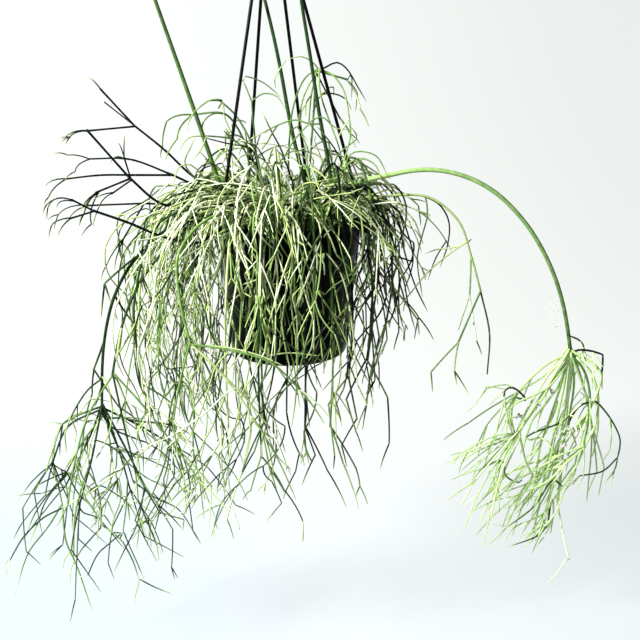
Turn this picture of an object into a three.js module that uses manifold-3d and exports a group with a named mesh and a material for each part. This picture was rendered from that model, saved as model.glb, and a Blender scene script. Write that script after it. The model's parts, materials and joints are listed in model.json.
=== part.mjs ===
// A mistletoe cactus in a black plastic hanging pot, in millimetres, +Z up.
// Everything is laid out from the middle of the pot's foot. At the end the group is lowered,
// so that the origin is the place inside the hook's loop where a peg or ceiling hook bears.
import * as THREE from "three";
import { mergeVertices } from "three/addons/utils/BufferGeometryUtils.js";
import Module from "manifold-3d";

const wasm = await Module();
wasm.setup();

// Pot
const RIM_RADIUS = 87.5;
const FOOT_RADIUS = 70;
const POT_HEIGHT = 164;
const WALL = 2;
const FOOT_CHAMFER = 4;
const COLLAR_HEIGHT = 40;
const COLLAR_OUT = 2.5;
const COLLAR_TAPER = 3.5;
const RIM_LIP = 1.2;
const DRAIN_HOLES = 6;
const DRAIN_RADIUS = 4;
const DRAIN_RING = 46;
const DRAIN_TURN = 15;
const POT_SIDES = 28;
const FIT_GAP = 0.3;
const HOLE_FACES = 6;

// Soil
const SOIL_DROP = 14;
const SOIL_CROWN = 3;
const SOIL_EDGE = 4;
const SOIL_FLAT_SHARE = 0.72;
const ROOT_DEPTH = 14;
const HOLE_SIDES = 5;

// Hanger: four strands with a ball at each end, a hub disc and a hook
const STRAND_AZIMUTHS = { front_left: 214, back_left: 126, back_right: 74, front_right: -12 };
const STRAND_RADIUS = 1.9;
const STRAND_SIDES = 5;
const BALL_SIDES = 6;
const BALL_RADIUS = 3.3;
const LUG_REACH = 93;
const LUG_RADIUS = 6.5;
const LUG_SIDES = 8;
const LUG_THICK = 3;
const LUG_BELOW_RIM = 6;
const LUG_HOLE_RADIUS = 3;
const HUB_LEAN = -15;
const HUB_HEIGHT = 497;
const HUB_RADIUS = 15;
const HUB_SIDES = 16;
const HUB_THICK = 4;
const HUB_RING = 9.5;
const HUB_HOLE_RADIUS = 2.8;
const HOOK_RADIUS = 14;
const HOOK_ROD = 2.6;
const HOOK_NECK = 18;
const NECK_STRAIGHT = 0.7;
const KNOB_RADIUS = 3.4;
const HOOK_FROM = -62;
const HOOK_TO = 218;
const HOOK_BENDS = 12;
const HOOK_STEPS = 24;
const HOOK_SIDES = 6;

// Stems
const JOINT_SPACING = 46;
const STEM_SIDES = 3;
const THICK_STEM_SIDES = 4;
const THICK_STEM = 2.2;
const ROUND_UP = 1.2;
const ROOT_TAPER = 0.32;
const TIP_TAPER = 0.6;
const SWELL = 0.3;
const STAGGER = 1.5;
const LIMB_STAGGER = 1.05;
const LIMB_ROOT_TAPER = 0.48;
const FINER = 0.9;
const SWEEP_SHARE = 0.6;
const CLOSER = 0.6;
const KEEP_CLEAR = 0.5;
const TRIES = 9;
const CELL = 40;
const NEAR_START = 5;
const SPREAD_RANGE = [0.5, 1.5];
const LENGTH_RANGE = [0.7, 1.3];
const DROOP_RANGE = [0.6, 1.4];
const WELD = 1e-4;
const POT_SAMPLES = [0.125, 0.25, 0.375, 0.5, 0.625, 0.75, 0.875, 1];

const SOIL_TOP = POT_HEIGHT - SOIL_DROP;

// Plain vector arithmetic on [x, y, z]
const add = (a, b) => [a[0] + b[0], a[1] + b[1], a[2] + b[2]];
const sub = (a, b) => [a[0] - b[0], a[1] - b[1], a[2] - b[2]];
const scale = (a, k) => [a[0] * k, a[1] * k, a[2] * k];
const dot = (a, b) => a[0] * b[0] + a[1] * b[1] + a[2] * b[2];
const size = (a) => Math.sqrt(dot(a, a));
const unit = (a) => scale(a, 1 / size(a));
const mix = (a, b, t) => a + (b - a) * t;
const between = (a, b, t) => [mix(a[0], b[0], t), mix(a[1], b[1], t), mix(a[2], b[2], t)];
const around = (azimuth, radius, z) => {
  const turn = (azimuth * Math.PI) / 180;
  return [radius * Math.cos(turn), radius * Math.sin(turn), z];
};
function cross(a, b) {
  return [
    a[1] * b[2] - a[2] * b[1],
    a[2] * b[0] - a[0] * b[2],
    a[0] * b[1] - a[1] * b[0],
  ];
}

// Seeded draws between 0 and 1
function drawsFrom(seed) {
  let state = seed >>> 0;
  return () => {
    state = (state + 0x6d2b79f5) >>> 0;
    let t = state;
    t = Math.imul(t ^ (t >>> 15), t | 1);
    t ^= t + Math.imul(t ^ (t >>> 7), t | 61);
    return ((t ^ (t >>> 14)) >>> 0) / 4294967296;
  };
}

// Solids: three.js shapes in, one closed body out
function solid(geometry) {
  const bare = new THREE.BufferGeometry();
  const plain = geometry.index ? geometry.toNonIndexed() : geometry;
  bare.setAttribute("position", plain.getAttribute("position"));
  const merged = mergeVertices(bare, WELD);
  return new wasm.Manifold(
    new wasm.Mesh({
      numProp: 3,
      vertProperties: new Float32Array(merged.attributes.position.array),
      triVerts: new Uint32Array(merged.index.array),
    }),
  );
}

function joined(solids) {
  return solids.reduce((whole, next) => whole.add(next));
}

function geometryOf(body) {
  const mesh = body.getMesh();
  const points = new Float32Array(mesh.numVert * 3);
  for (let i = 0; i < mesh.numVert; i++) {
    points.set(mesh.vertProperties.subarray(i * mesh.numProp, i * mesh.numProp + 3), i * 3);
  }
  const geometry = new THREE.BufferGeometry();
  geometry.setAttribute("position", new THREE.BufferAttribute(points, 3));
  geometry.setIndex(new THREE.BufferAttribute(new Uint32Array(mesh.triVerts), 1));
  return geometry;
}

// A stem of changing thickness: a ring of corners at each point, joined into one closed skin
function rod(points, radii, sides) {
  const last = points.length - 1;
  const along = points.map((_, i) => {
    const [before, after] = [points[Math.max(i - 1, 0)], points[Math.min(i + 1, last)]];
    return unit(sub(after, before));
  });
  let across = unit(cross(along[0], Math.abs(along[0][1]) < 0.8 ? [0, 1, 0] : [1, 0, 0]));
  const corners = [];
  points.forEach((point, i) => {
    across = unit(sub(across, scale(along[i], dot(across, along[i]))));
    const upward = cross(along[i], across);
    for (let k = 0; k < sides; k++) {
      const turn = (2 * Math.PI * k) / sides;
      const out = add(scale(across, Math.cos(turn)), scale(upward, Math.sin(turn)));
      corners.push(...add(point, scale(out, radii[i])));
    }
  });
  const faces = [];
  for (let k = 0; k < sides; k++) {
    const next = (k + 1) % sides;
    for (let i = 0; i < last; i++) {
      const low = i * sides;
      const high = low + sides;
      faces.push(low + k, low + next, high + next, low + k, high + next, high + k);
    }
    if (k > 0 && next > 0) {
      faces.push(0, next, k, last * sides, last * sides + k, last * sides + next);
    }
  }
  const skin = new THREE.BufferGeometry();
  skin.setAttribute("position", new THREE.BufferAttribute(new Float32Array(corners), 3));
  skin.setIndex(faces);
  return solid(skin);
}

// A plain tube along a curve
function tube(path, radius, sides, steps) {
  const section = new THREE.Shape();
  for (let k = 0; k < sides; k++) {
    const turn = (2 * Math.PI * k) / sides;
    section[k ? "lineTo" : "moveTo"](radius * Math.cos(turn), radius * Math.sin(turn));
  }
  return solid(new THREE.ExtrudeGeometry(section, { steps, extrudePath: path, bevelEnabled: false }));
}

function ball(centre, radius) {
  return solid(new THREE.SphereGeometry(radius, BALL_SIDES, BALL_SIDES / 2 + 1).translate(...centre));
}

function upright(x, y, low, high, radius, sides) {
  const post = new THREE.CylinderGeometry(radius, radius, high - low, sides);
  return solid(post.rotateX(Math.PI / 2).translate(x, y, (low + high) / 2));
}

function lathe(profile, sides) {
  const outline = profile.map(([r, z]) => new THREE.Vector2(r, z));
  return solid(new THREE.LatheGeometry(outline, sides).rotateX(Math.PI / 2));
}

// Pot
const wallRadius = (z) => mix(FOOT_RADIUS, RIM_RADIUS - COLLAR_OUT, z / POT_HEIGHT);

function makePot() {
  const collarLow = POT_HEIGHT - COLLAR_HEIGHT;
  const shell = lathe(
    [
      [0, 0],
      [wallRadius(0) - FOOT_CHAMFER, 0],
      [wallRadius(FOOT_CHAMFER), FOOT_CHAMFER],
      [wallRadius(collarLow), collarLow],
      [RIM_RADIUS - COLLAR_TAPER, collarLow + RIM_LIP],
      [RIM_RADIUS, POT_HEIGHT - 2 * RIM_LIP],
      [RIM_RADIUS - RIM_LIP, POT_HEIGHT],
      [wallRadius(POT_HEIGHT) - WALL + RIM_LIP, POT_HEIGHT],
      [wallRadius(collarLow) - WALL, collarLow],
      [wallRadius(FOOT_CHAMFER) - WALL, FOOT_CHAMFER + WALL],
      [wallRadius(0) - FOOT_CHAMFER - WALL, WALL],
      [0, WALL],
    ],
    POT_SIDES,
  );
  const lugTop = POT_HEIGHT - LUG_BELOW_RIM;
  const lugs = Object.values(STRAND_AZIMUTHS).map((azimuth) => {
    const [x, y] = around(azimuth, LUG_REACH, 0);
    const eye = upright(x, y, lugTop - LUG_THICK, lugTop, LUG_RADIUS, LUG_SIDES);
    const tongue = solid(
      new THREE.BoxGeometry(LUG_REACH - RIM_RADIUS + 2 * RIM_LIP, 2 * LUG_RADIUS, LUG_THICK)
        .translate((LUG_REACH + RIM_RADIUS) / 2 - RIM_LIP, 0, lugTop - LUG_THICK / 2)
        .rotateZ((azimuth * Math.PI) / 180),
    );
    return eye.add(tongue);
  });
  const eyes = Object.values(STRAND_AZIMUTHS).map((azimuth) => {
    const [x, y] = around(azimuth, LUG_REACH, 0);
    return upright(x, y, lugTop - 2 * LUG_THICK, lugTop + LUG_THICK, LUG_HOLE_RADIUS, HOLE_FACES);
  });
  const drains = Array.from({ length: DRAIN_HOLES }, (_, i) => {
    const [x, y] = around((i * 360) / DRAIN_HOLES + DRAIN_TURN, DRAIN_RING, 0);
    return upright(x, y, -WALL, 2 * WALL, DRAIN_RADIUS, HOLE_FACES);
  });
  return joined([shell, ...lugs]).subtract(joined([...eyes, ...drains]));
}

// Soil, with a plain hole for each stem
function makeSoil(stems) {
  const edge = SOIL_TOP - SOIL_EDGE;
  const inside = (z) => wallRadius(z) - WALL - FIT_GAP;
  const low = WALL + FIT_GAP;
  const fill = lathe(
    [
      [0, low],
      [inside(0) - FOOT_CHAMFER, low],
      [inside(FOOT_CHAMFER + WALL), FOOT_CHAMFER + WALL + FIT_GAP],
      [inside(edge), edge],
      [inside(edge) * SOIL_FLAT_SHARE, SOIL_TOP],
      [0, SOIL_TOP + SOIL_CROWN],
    ],
    POT_SIDES,
  );
  const holes = stems.map(({ route, thick }) => {
    const radius = (thick[0] * ROUND_UP + FIT_GAP) / Math.cos(Math.PI / HOLE_SIDES);
    const [x, y] = route[0];
    return upright(x, y, SOIL_TOP - ROOT_DEPTH - FIT_GAP, SOIL_TOP + 2 * SOIL_CROWN, radius, HOLE_SIDES);
  });
  return fill.subtract(joined(holes));
}

// Hanger
function strandEnds(azimuth) {
  const lugTop = POT_HEIGHT - LUG_BELOW_RIM;
  const eye = around(azimuth, LUG_REACH, lugTop - LUG_THICK / 2);
  const socket = add(around(azimuth, HUB_RING, HUB_HEIGHT + HUB_THICK / 2), [HUB_LEAN, 0, 0]);
  const along = unit(sub(socket, eye));
  const past = (LUG_THICK / 2 + BALL_RADIUS + FIT_GAP) / along[2];
  const above = (HUB_THICK / 2 + BALL_RADIUS + FIT_GAP) / along[2];
  return [sub(eye, scale(along, past)), add(socket, scale(along, above))];
}

function makeStrand(azimuth) {
  const [low, high] = strandEnds(azimuth);
  const path = new THREE.LineCurve3(new THREE.Vector3(...low), new THREE.Vector3(...high));
  const line = tube(path, STRAND_RADIUS, STRAND_SIDES, 1);
  return joined([line, ball(low, BALL_RADIUS), ball(high, BALL_RADIUS)]);
}

const hookCentre = [HUB_LEAN, 0, HUB_HEIGHT + HUB_THICK + HOOK_NECK + HOOK_RADIUS];
const hookBearing = add(hookCentre, [0, 0, HOOK_RADIUS - HOOK_ROD]);

function makeHook() {
  const disc = upright(HUB_LEAN, 0, HUB_HEIGHT, HUB_HEIGHT + HUB_THICK, HUB_RADIUS, HUB_SIDES);
  const holes = Object.values(STRAND_AZIMUTHS).map((azimuth) => {
    const [x, y] = around(azimuth, HUB_RING, 0);
    const low = HUB_HEIGHT - HUB_THICK;
    return upright(x + HUB_LEAN, y, low, HUB_HEIGHT + 2 * HUB_THICK, HUB_HOLE_RADIUS, HOLE_FACES);
  });
  const loop = Array.from({ length: HOOK_BENDS + 1 }, (_, i) => {
    const turn = (mix(HOOK_FROM, HOOK_TO, i / HOOK_BENDS) * Math.PI) / 180;
    return add(hookCentre, [HOOK_RADIUS * Math.cos(turn), 0, HOOK_RADIUS * Math.sin(turn)]);
  });
  const foot = [HUB_LEAN, 0, HUB_HEIGHT + HUB_THICK / 2];
  const neck = [HUB_LEAN, 0, HUB_HEIGHT + HUB_THICK + HOOK_NECK * NECK_STRAIGHT];
  const path = new THREE.CatmullRomCurve3([foot, neck, ...loop].map((p) => new THREE.Vector3(...p)));
  const wire = tube(path, HOOK_ROD, HOOK_SIDES, HOOK_STEPS);
  const knob = ball(loop[HOOK_BENDS], KNOB_RADIUS);
  return joined([disc.subtract(joined(holes)), wire, knob]);
}

// Stems: the long shoots, by hand from the plant's own shape. Each route starts at the soil.
// thick holds the radius at the root and at the end; limbs spring from the end of the route.
const LONG_SHOOTS = [
  {
    name: "shoot_arch_right",
    seed: 11,
    route: [
      [44, -5, SOIL_TOP], [58, -5, 200], [110, -5, 213], [169, -5, 224], [228, -10, 208],
      [277, -15, 166], [312, -21, 110], [331, -25, 56], [340, -28, 6],
    ],
    thick: [3, 2.3],
    colour: "mint",
    limbs: [
      { route: [[374, -40, 5], [377, -38, -22], [366, -34, -75]], thick: [1.7, 1.2], fan: 4 },
      { route: [[316, -40, -28], [274, -58, -92]], thick: [1.6, 1.2], fan: 6 },
      { route: [[330, -30, -45], [312, -22, -124]], thick: [1.6, 1.2], fan: 5 },
      { route: [[352, -20, -40], [345, -12, -118]], thick: [1.5, 1.2], fan: 5 },
      { route: [[318, -12, -30], [285, 6, -62]], thick: [1.4, 1.1], fan: 3 },
      { route: [[362, -16, -38], [384, 4, -108]], thick: [1.4, 1.1], fan: 3 },
      { route: [[340, -6, -60], [330, 12, -172]], thick: [1.6, 1.2], fan: 5 },
    ],
    grow: { length: 74, sweep: [-0.66, 0, -0.7], spread: 20, droop: 0.12 },
  },
  {
    name: "shoot_second_right",
    seed: 12,
    route: [
      [48, -30, SOIL_TOP], [80, -31, 188], [119, -32, 195], [150, -34, 198], [181, -38, 187],
      [203, -43, 160], [213, -46, 125], [225, -50, 85],
    ],
    thick: [1.9, 1.4],
    colour: "green",
    limbs: [
      { route: [[199, -60, 25]], thick: [1.4, 1.2], fan: 2 },
      { route: [[240, -45, 37], [239, -40, -20]], thick: [1.3, 1], fan: 0 },
    ],
    grow: { length: 42, sweep: [0, 0, -1], spread: 34, droop: 0.15 },
    sides: { from: 0.72, forks: 0.6 },
  },
  {
    name: "shoot_tall_left",
    seed: 13,
    route: [
      [-62, -18, SOIL_TOP], [-69, -20, 178], [-105, -30, 297], [-140, -40, 409], [-158, -45, 468],
    ],
    thick: [2.8, 1.9],
    colour: "green",
  },
  {
    name: "shoot_tall_middle",
    seed: 14,
    route: [
      [28, 20, SOIL_TOP], [20, 20, 205], [5, 25, 257], [-9, 30, 340], [-25, 35, 410], [-40, 39, 462],
    ],
    thick: [2.6, 1.8],
    colour: "green",
  },
  {
    name: "shoot_tall_right",
    seed: 15,
    route: [
      [54, -14, SOIL_TOP], [51, -15, 216], [38, -18, 279], [27, -20, 351], [17, -22, 409], [12, -30, 458],
    ],
    thick: [2.5, 1.7],
    colour: "green",
  },
  {
    name: "shoot_upper_left_1",
    seed: 16,
    route: [[-48, 14, SOIL_TOP], [-72, 12, 188], [-108, 10, 205], [-139, 5, 239], [-178, 0, 272]],
    thick: [2, 1.5],
    colour: "dark",
    limbs: [
      { route: [[-197, 0, 294], [-214, 0, 313]], thick: [1.5, 1.2], fan: 1 },
      { route: [[-204, -6, 271], [-232, -12, 266]], thick: [1.4, 1.1], fan: 2 },
      { route: [[-194, 8, 288], [-212, 10, 297]], thick: [1, 0.8], fan: 0 },
    ],
    grow: { length: 17, sweep: [-0.8, 0, 0.1], spread: 26, droop: 0.35 },
  },
  {
    name: "shoot_upper_left_2",
    seed: 17,
    route: [[-50, -6, SOIL_TOP], [-76, -13, 187], [-109, -20, 204], [-134, -25, 219]],
    thick: [2, 1.6],
    colour: "dark",
    limbs: [
      { route: [[-156, -30, 231], [-191, -35, 240], [-224, -40, 238]], thick: [1.4, 1.1], fan: 2 },
      { route: [[-156, -28, 217], [-200, -38, 221], [-250, -45, 216]], thick: [1.6, 1.2], fan: 3 },
    ],
    grow: { length: 24, sweep: [-0.7, 0, -0.1], spread: 30, droop: 0.45 },
  },
  {
    name: "shoot_upper_left_3",
    seed: 18,
    route: [[-58, -34, SOIL_TOP], [-84, -42, 187], [-129, -52, 180], [-152, -60, 200], [-174, -68, 222]],
    thick: [2.2, 1.7],
    colour: "dark",
    limbs: [
      { route: [[-191, -75, 252], [-214, -80, 275]], thick: [1.6, 1.2], fan: 1 },
      { route: [[-208, -85, 207]], thick: [1.4, 1.2], fan: 4 },
      { route: [[-178, -66, 244]], thick: [1.2, 1], fan: 3 },
      { route: [[-190, -86, 206]], thick: [1.2, 1], fan: 2 },
    ],
    grow: { length: 28, sweep: [-0.7, 0, -0.2], spread: 40, droop: 0.4 },
  },
  {
    name: "shoot_upper_left_4",
    seed: 19,
    route: [[-36, 4, SOIL_TOP], [-70, 0, 178], [-112, -6, 179], [-171, -10, 182]],
    thick: [1.8, 1.4],
    colour: "dark",
    limbs: [
      { route: [[-199, -8, 188], [-238, -2, 178]], thick: [1.4, 1.1], fan: 2 },
      { route: [[-184, -16, 168], [-194, -20, 140]], thick: [1.3, 1.1], fan: 3 },
    ],
    grow: { length: 32, sweep: [-0.5, 0, -0.7], spread: 30, droop: 0.5 },
  },
  {
    name: "shoot_low_dark",
    seed: 20,
    route: [
      [-42, -46, SOIL_TOP], [-58, -62, 181], [-76, -78, 170], [-92, -87, 150], [-118, -95, 153],
      [-175, -110, 182], [-205, -118, 194],
    ],
    thick: [2.2, 1.7],
    colour: "dark",
    limbs: [
      { route: [[-226, -120, 206]], thick: [1.3, 1.1], fan: 3 },
      { route: [[-228, -124, 186]], thick: [1.3, 1.1], fan: 2 },
    ],
    grow: { length: 26, sweep: [-0.7, 0, -0.5], spread: 30, droop: 0.6 },
  },
  {
    name: "shoot_left_arc_1",
    seed: 21,
    route: [
      [-34, -22, SOIL_TOP], [-58, -28, 182], [-88, -33, 181], [-141, -46, 158], [-173, -60, 129],
      [-196, -65, 92], [-208, -68, 55], [-216, -70, 9], [-220, -70, -54],
    ],
    thick: [2.6, 2],
    colour: "dark",
    limbs: [
      { route: [[-258, -66, -62], [-284, -70, -122]], thick: [1.5, 1.2], fan: 4, again: 1 },
      { route: [[-184, -74, -66], [-140, -66, -100]], thick: [1.6, 1.2], fan: 4, again: 1 },
      { route: [[-226, -88, -90], [-246, -104, -160]], thick: [1.5, 1.2], fan: 3, again: 1 },
      { route: [[-208, -58, -96], [-196, -50, -170]], thick: [1.5, 1.2], fan: 3, again: 1 },
      { route: [[-240, -50, -94], [-280, -40, -170]], thick: [1.5, 1.2], fan: 3, again: 1 },
      { route: [[-196, -86, -84], [-166, -104, -140]], thick: [1.5, 1.2], fan: 3, again: 1 },
    ],
    grow: { length: 52, sweep: [0, 0, -0.8], spread: 38, droop: 0.12 },
    sides: { from: 0.5, forks: 0.3 },
  },
  {
    name: "shoot_left_arc_2",
    seed: 22,
    route: [
      [-22, -34, SOIL_TOP], [-50, -49, 186], [-84, -64, 181], [-130, -80, 150], [-166, -94, 106],
      [-186, -104, 56], [-196, -112, 4],
    ],
    thick: [2.3, 1.7],
    colour: "green",
    limbs: [
      { route: [[-226, -122, -38], [-240, -136, -92]], thick: [1.4, 1.2], fan: 3, again: 1 },
      { route: [[-184, -126, -44], [-170, -140, -104]], thick: [1.4, 1.2], fan: 3, again: 1 },
      { route: [[-160, -118, -30], [-128, -120, -78]], thick: [1.4, 1.2], fan: 3, again: 1 },
    ],
    grow: { length: 50, sweep: [0.1, 0, -0.8], spread: 36, droop: 0.15 },
    sides: { from: 0.42, forks: 0.5 },
  },
  {
    name: "shoot_front",
    seed: 23,
    route: [
      [-18, -56, SOIL_TOP], [-40, -75, 186], [-70, -98, 187], [-102, -118, 174], [-115, -134, 148],
      [-114, -142, 112], [-107, -146, 80], [-101, -148, 52],
    ],
    thick: [2.1, 1.7],
    colour: "pale",
    limbs: [
      { route: [[-58, -156, 50], [-18, -161, 43], [18, -162, 5]], thick: [1.5, 1.2], fan: 2 },
      { route: [[-54, -152, 8], [-17, -150, -43]], thick: [1.4, 1.1], fan: 2 },
      { route: [[-116, -150, 8], [-124, -150, -36]], thick: [1.4, 1.1], fan: 2 },
    ],
    grow: { length: 40, sweep: [0.3, 0, -0.8], spread: 30, droop: 0.2 },
  },
  {
    name: "shoot_crown_left",
    seed: 24,
    route: [[-18, 10, SOIL_TOP], [-38, 6, 228], [-64, -2, 280], [-86, -5, 297], [-111, -8, 284]],
    thick: [1.7, 1.3],
    colour: "green",
    grow: { length: 26, sweep: [-0.6, 0, -0.6], spread: 34, droop: 0.5 },
    sides: { from: 0.5, forks: 0.4 },
    whorl: 2,
  },
  {
    name: "shoot_crown_right",
    seed: 25,
    route: [[22, 2, SOIL_TOP], [27, 6, 242], [32, 10, 300], [33, 10, 334]],
    thick: [1.7, 1.4],
    colour: "green",
    limbs: [
      { route: [[53, 10, 341], [70, 12, 322]], thick: [1.4, 1.1], fan: 2 },
      { route: [[50, 18, 316], [62, 22, 276]], thick: [1.2, 1], fan: 2 },
      { route: [[20, 8, 312], [12, 2, 268]], thick: [1.2, 1], fan: 1 },
    ],
    grow: { length: 30, sweep: [0.3, 0, -0.8], spread: 30, droop: 0.4 },
    sides: { from: 0.5, forks: 0.4 },
  },
];

// Stems: the dome. Shoots of one ring rise by the rim, arch over it and hang; their azimuths
// leave room for the strands. The lean of the plant is in how far and how low they reach.
const RINGS = [
  {
    name: "shoot_skirt",
    seed: 300,
    azimuths: [2, 17, 33, 50, 92, 108, 142, 157, 174, 246, 262, 278, 294, 310, 326],
    root: 66,
    lift: 38,
    reach: 150,
    reachLean: 32,
    reachFront: -32,
    low: 48,
    lowFront: 118,
    thick: [1.8, 1.3],
    sides: { from: 0.4, forks: 0.15 },
    whorl: 2,
    length: 48,
  },
  {
    name: "shoot_dome",
    seed: 400,
    azimuths: [20, 46, 100, 150, 236, 260, 284, 308, 332],
    root: 44,
    lift: 84,
    reach: 118,
    reachLean: 24,
    reachFront: -18,
    low: 128,
    lowFront: 34,
    thick: [1.7, 1.2],
    sides: { from: 0.3, forks: 0.15 },
    whorl: 2,
    length: 42,
  },
];
const LEAN_AZIMUTH = 190;
const FRONT_AZIMUTH = 262;
const NUDGES = [0, 3, -3, 6, -6, 9, -9, 12, -12];
const LEAST_REACH = RIM_RADIUS + 3 * LUG_RADIUS;
const UNEVEN = { reach: 16, low: 40, crest: 16, twist: 10 };
const SHOULDER_DROP = 12;
const SIDE_SEED = 50;
const RING_COLOURS = ["pale", "green", "green", "dark"];
const RING_GROW = { sweep: [0, 0, -1], spread: 36, droop: 0.3 };

function ringRoute(ring, azimuth, draw) {
  const uneven = (range) => range * (draw() - 0.5);
  const toward = (other) => Math.cos(((azimuth - other) * Math.PI) / 180);
  const front = Math.max(toward(FRONT_AZIMUTH), 0);
  const lean = ring.reachLean * toward(LEAN_AZIMUTH) + ring.reachFront * front;
  const reach = Math.max(ring.reach + lean + uneven(UNEVEN.reach), LEAST_REACH);
  const low = ring.low - ring.lowFront * front + uneven(UNEVEN.low);
  const crest = POT_HEIGHT + ring.lift + uneven(UNEVEN.crest);
  const twist = uneven(UNEVEN.twist);
  const brim = Math.max(ring.root + SHOULDER_DROP, RIM_RADIUS);
  return [
    around(azimuth, ring.root, SOIL_TOP),
    around(azimuth, ring.root + 3, mix(SOIL_TOP, crest, 0.5)),
    around(azimuth + twist * 0.2, brim, crest),
    around(azimuth + twist * 0.5, mix(brim, reach, 0.66), crest - SHOULDER_DROP),
    around(azimuth + twist, reach, mix(crest, low, 0.4)),
    around(azimuth + twist, reach + 4, mix(crest, low, 0.72)),
    around(azimuth + twist, reach - 4, low),
  ];
}

// The first nudge of a shoot's azimuth that keeps its stem clear of what is there
function ringShoots(ring) {
  return ring.azimuths.map((azimuth, i) => {
    const name = ring.name + "_" + (i + 1);
    for (const nudge of NUDGES) {
      const shoot = {
        name,
        seed: ring.seed + SIDE_SEED + i,
        route: ringRoute(ring, azimuth + nudge, drawsFrom(ring.seed + i)),
        thick: ring.thick,
        colour: RING_COLOURS[i % RING_COLOURS.length],
        sides: ring.sides,
        whorl: ring.whorl,
        grow: { length: ring.length, ...RING_GROW },
      };
      if (stemIsClear(shoot)) {
        reserve(shoot);
        return shoot;
      }
    }
    throw new Error(name + " has no room");
  });
}

// A route with its corners cut twice, then points evenly along it
function smoothed(route) {
  let points = route;
  for (let round = 0; round < 2; round++) {
    const cut = [points[0]];
    for (let i = 1; i < points.length; i++) {
      if (i > 1) cut.push(between(points[i - 1], points[i], 0.25));
      if (i < points.length - 1) cut.push(between(points[i - 1], points[i], 0.75));
    }
    cut.push(points[points.length - 1]);
    points = cut;
  }
  return points;
}

function evenly(points, spacing) {
  let total = 0;
  for (let i = 1; i < points.length; i++) total += size(sub(points[i], points[i - 1]));
  const count = Math.max(Math.round(total / spacing), 1);
  const step = total / count;
  const even = [points[0]];
  let due = step;
  for (let i = 1; i < points.length; i++) {
    const stretch = size(sub(points[i], points[i - 1]));
    while (due < stretch + 1e-6 && even.length < count) {
      even.push(between(points[i - 1], points[i], due / stretch));
      due += step;
    }
    due -= stretch;
  }
  even.push(points[points.length - 1]);
  return even;
}

function jointsAlong(route, thick) {
  return evenly(smoothed(route), thick[0] > THICK_STEM ? JOINT_SPACING * CLOSER : JOINT_SPACING);
}

// A direction at an angle from another, turned about it
function leaning(along, angle, turn) {
  const side = unit(cross(along, Math.abs(along[2]) < 0.9 ? [0, 0, 1] : [1, 0, 0]));
  const up = cross(side, along);
  const out = add(scale(side, Math.cos(turn)), scale(up, Math.sin(turn)));
  return unit(add(scale(along, Math.cos(angle)), scale(out, Math.sin(angle))));
}

// One stem piece: two straight lengths, the second sagging from the first
function sagging(from, towards, length, droop) {
  const first = unit(add(towards, [0, 0, -droop * 0.5]));
  const middle = add(from, scale(first, length * SWELL));
  const second = unit(add(first, [0, 0, -droop]));
  return [from, middle, add(middle, scale(second, length * (1 - SWELL)))];
}

// Shortest distance between two straight lengths
function apart(a, b, c, d) {
  const u = sub(b, a);
  const v = sub(d, c);
  const w = sub(a, c);
  const uu = dot(u, u);
  const uv = dot(u, v);
  const vv = dot(v, v);
  const uw = dot(u, w);
  const vw = dot(v, w);
  const clamp = (t) => Math.min(Math.max(t, 0), 1);
  const flat = uu * vv - uv * uv;
  let s = flat > 1e-9 ? clamp((uv * vw - vv * uw) / flat) : 0;
  const t = clamp((uv * s + vw) / vv);
  s = uu > 1e-9 ? clamp((uv * t - uw) / uu) : 0;
  return size(sub(add(a, scale(u, s)), add(c, scale(v, t))));
}

// What is already in place, kept in a coarse grid of cells
const taken = new Map();
const cellOf = (p) => p.map((c) => Math.floor(c / CELL));

function shortLengths(points) {
  const lengths = [];
  for (let i = 1; i < points.length; i++) {
    const pieces = Math.ceil(size(sub(points[i], points[i - 1])) / CELL);
    for (let k = 0; k < pieces; k++) {
      const a = between(points[i - 1], points[i], k / pieces);
      const b = between(points[i - 1], points[i], (k + 1) / pieces);
      lengths.push([a, b]);
    }
  }
  return lengths;
}

function occupy(points, radius, owner) {
  for (const [a, b] of shortLengths(points)) {
    const key = cellOf(between(a, b, 0.5)).join();
    if (!taken.has(key)) taken.set(key, []);
    taken.get(key).push({ a, b, radius, owner });
  }
}

// Clear of all the rest, and of what its own shoot holds away from where the piece starts
function isClear(points, radius, owner) {
  const [from] = points;
  for (const [a, b] of shortLengths(points)) {
    const [cx, cy, cz] = cellOf(between(a, b, 0.5));
    for (let x = cx - 1; x <= cx + 1; x++) {
      for (let y = cy - 1; y <= cy + 1; y++) {
        for (let z = cz - 1; z <= cz + 1; z++) {
          for (const other of taken.get([x, y, z].join()) ?? []) {
            const room = radius + other.radius + KEEP_CLEAR;
            const isKin = other.owner === owner && apart(from, from, other.a, other.b) < NEAR_START;
            if (!isKin && apart(a, b, other.a, other.b) < room) return false;
          }
        }
      }
    }
  }
  return true;
}

// Clear of the pot: over its rim, inside the rim and over the soil, or outside
function isClearOfPot(points, radius) {
  const mouth = wallRadius(SOIL_TOP) - WALL;
  return points.slice(1).every((end, i) => POT_SAMPLES.every((share) => {
    const [x, y, z] = between(points[i], end, share);
    const out = Math.hypot(x, y);
    const isInside = z > SOIL_TOP + SOIL_CROWN && out < mouth - radius;
    const isBesideRim = out > RIM_RADIUS + radius + LUG_RADIUS;
    const isBesideWall = z < POT_HEIGHT - JOINT_SPACING && out > wallRadius(z) + radius + LUG_RADIUS;
    return z > POT_HEIGHT + radius + LUG_THICK || isInside || isBesideRim || isBesideWall;
  }));
}

// The main stem from the bottom of its hole, and each limb that goes on from its end
function mainStem(shoot) {
  const [x, y] = shoot.route[0];
  const crown = [x, y, SOIL_TOP + SOIL_CROWN + 1];
  return [[x, y, SOIL_TOP - ROOT_DEPTH], ...jointsAlong([crown, ...shoot.route.slice(1)], shoot.thick)];
}

function limbStem(shoot, limb) {
  return jointsAlong([shoot.route[shoot.route.length - 1], ...limb.route], limb.thick);
}

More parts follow.
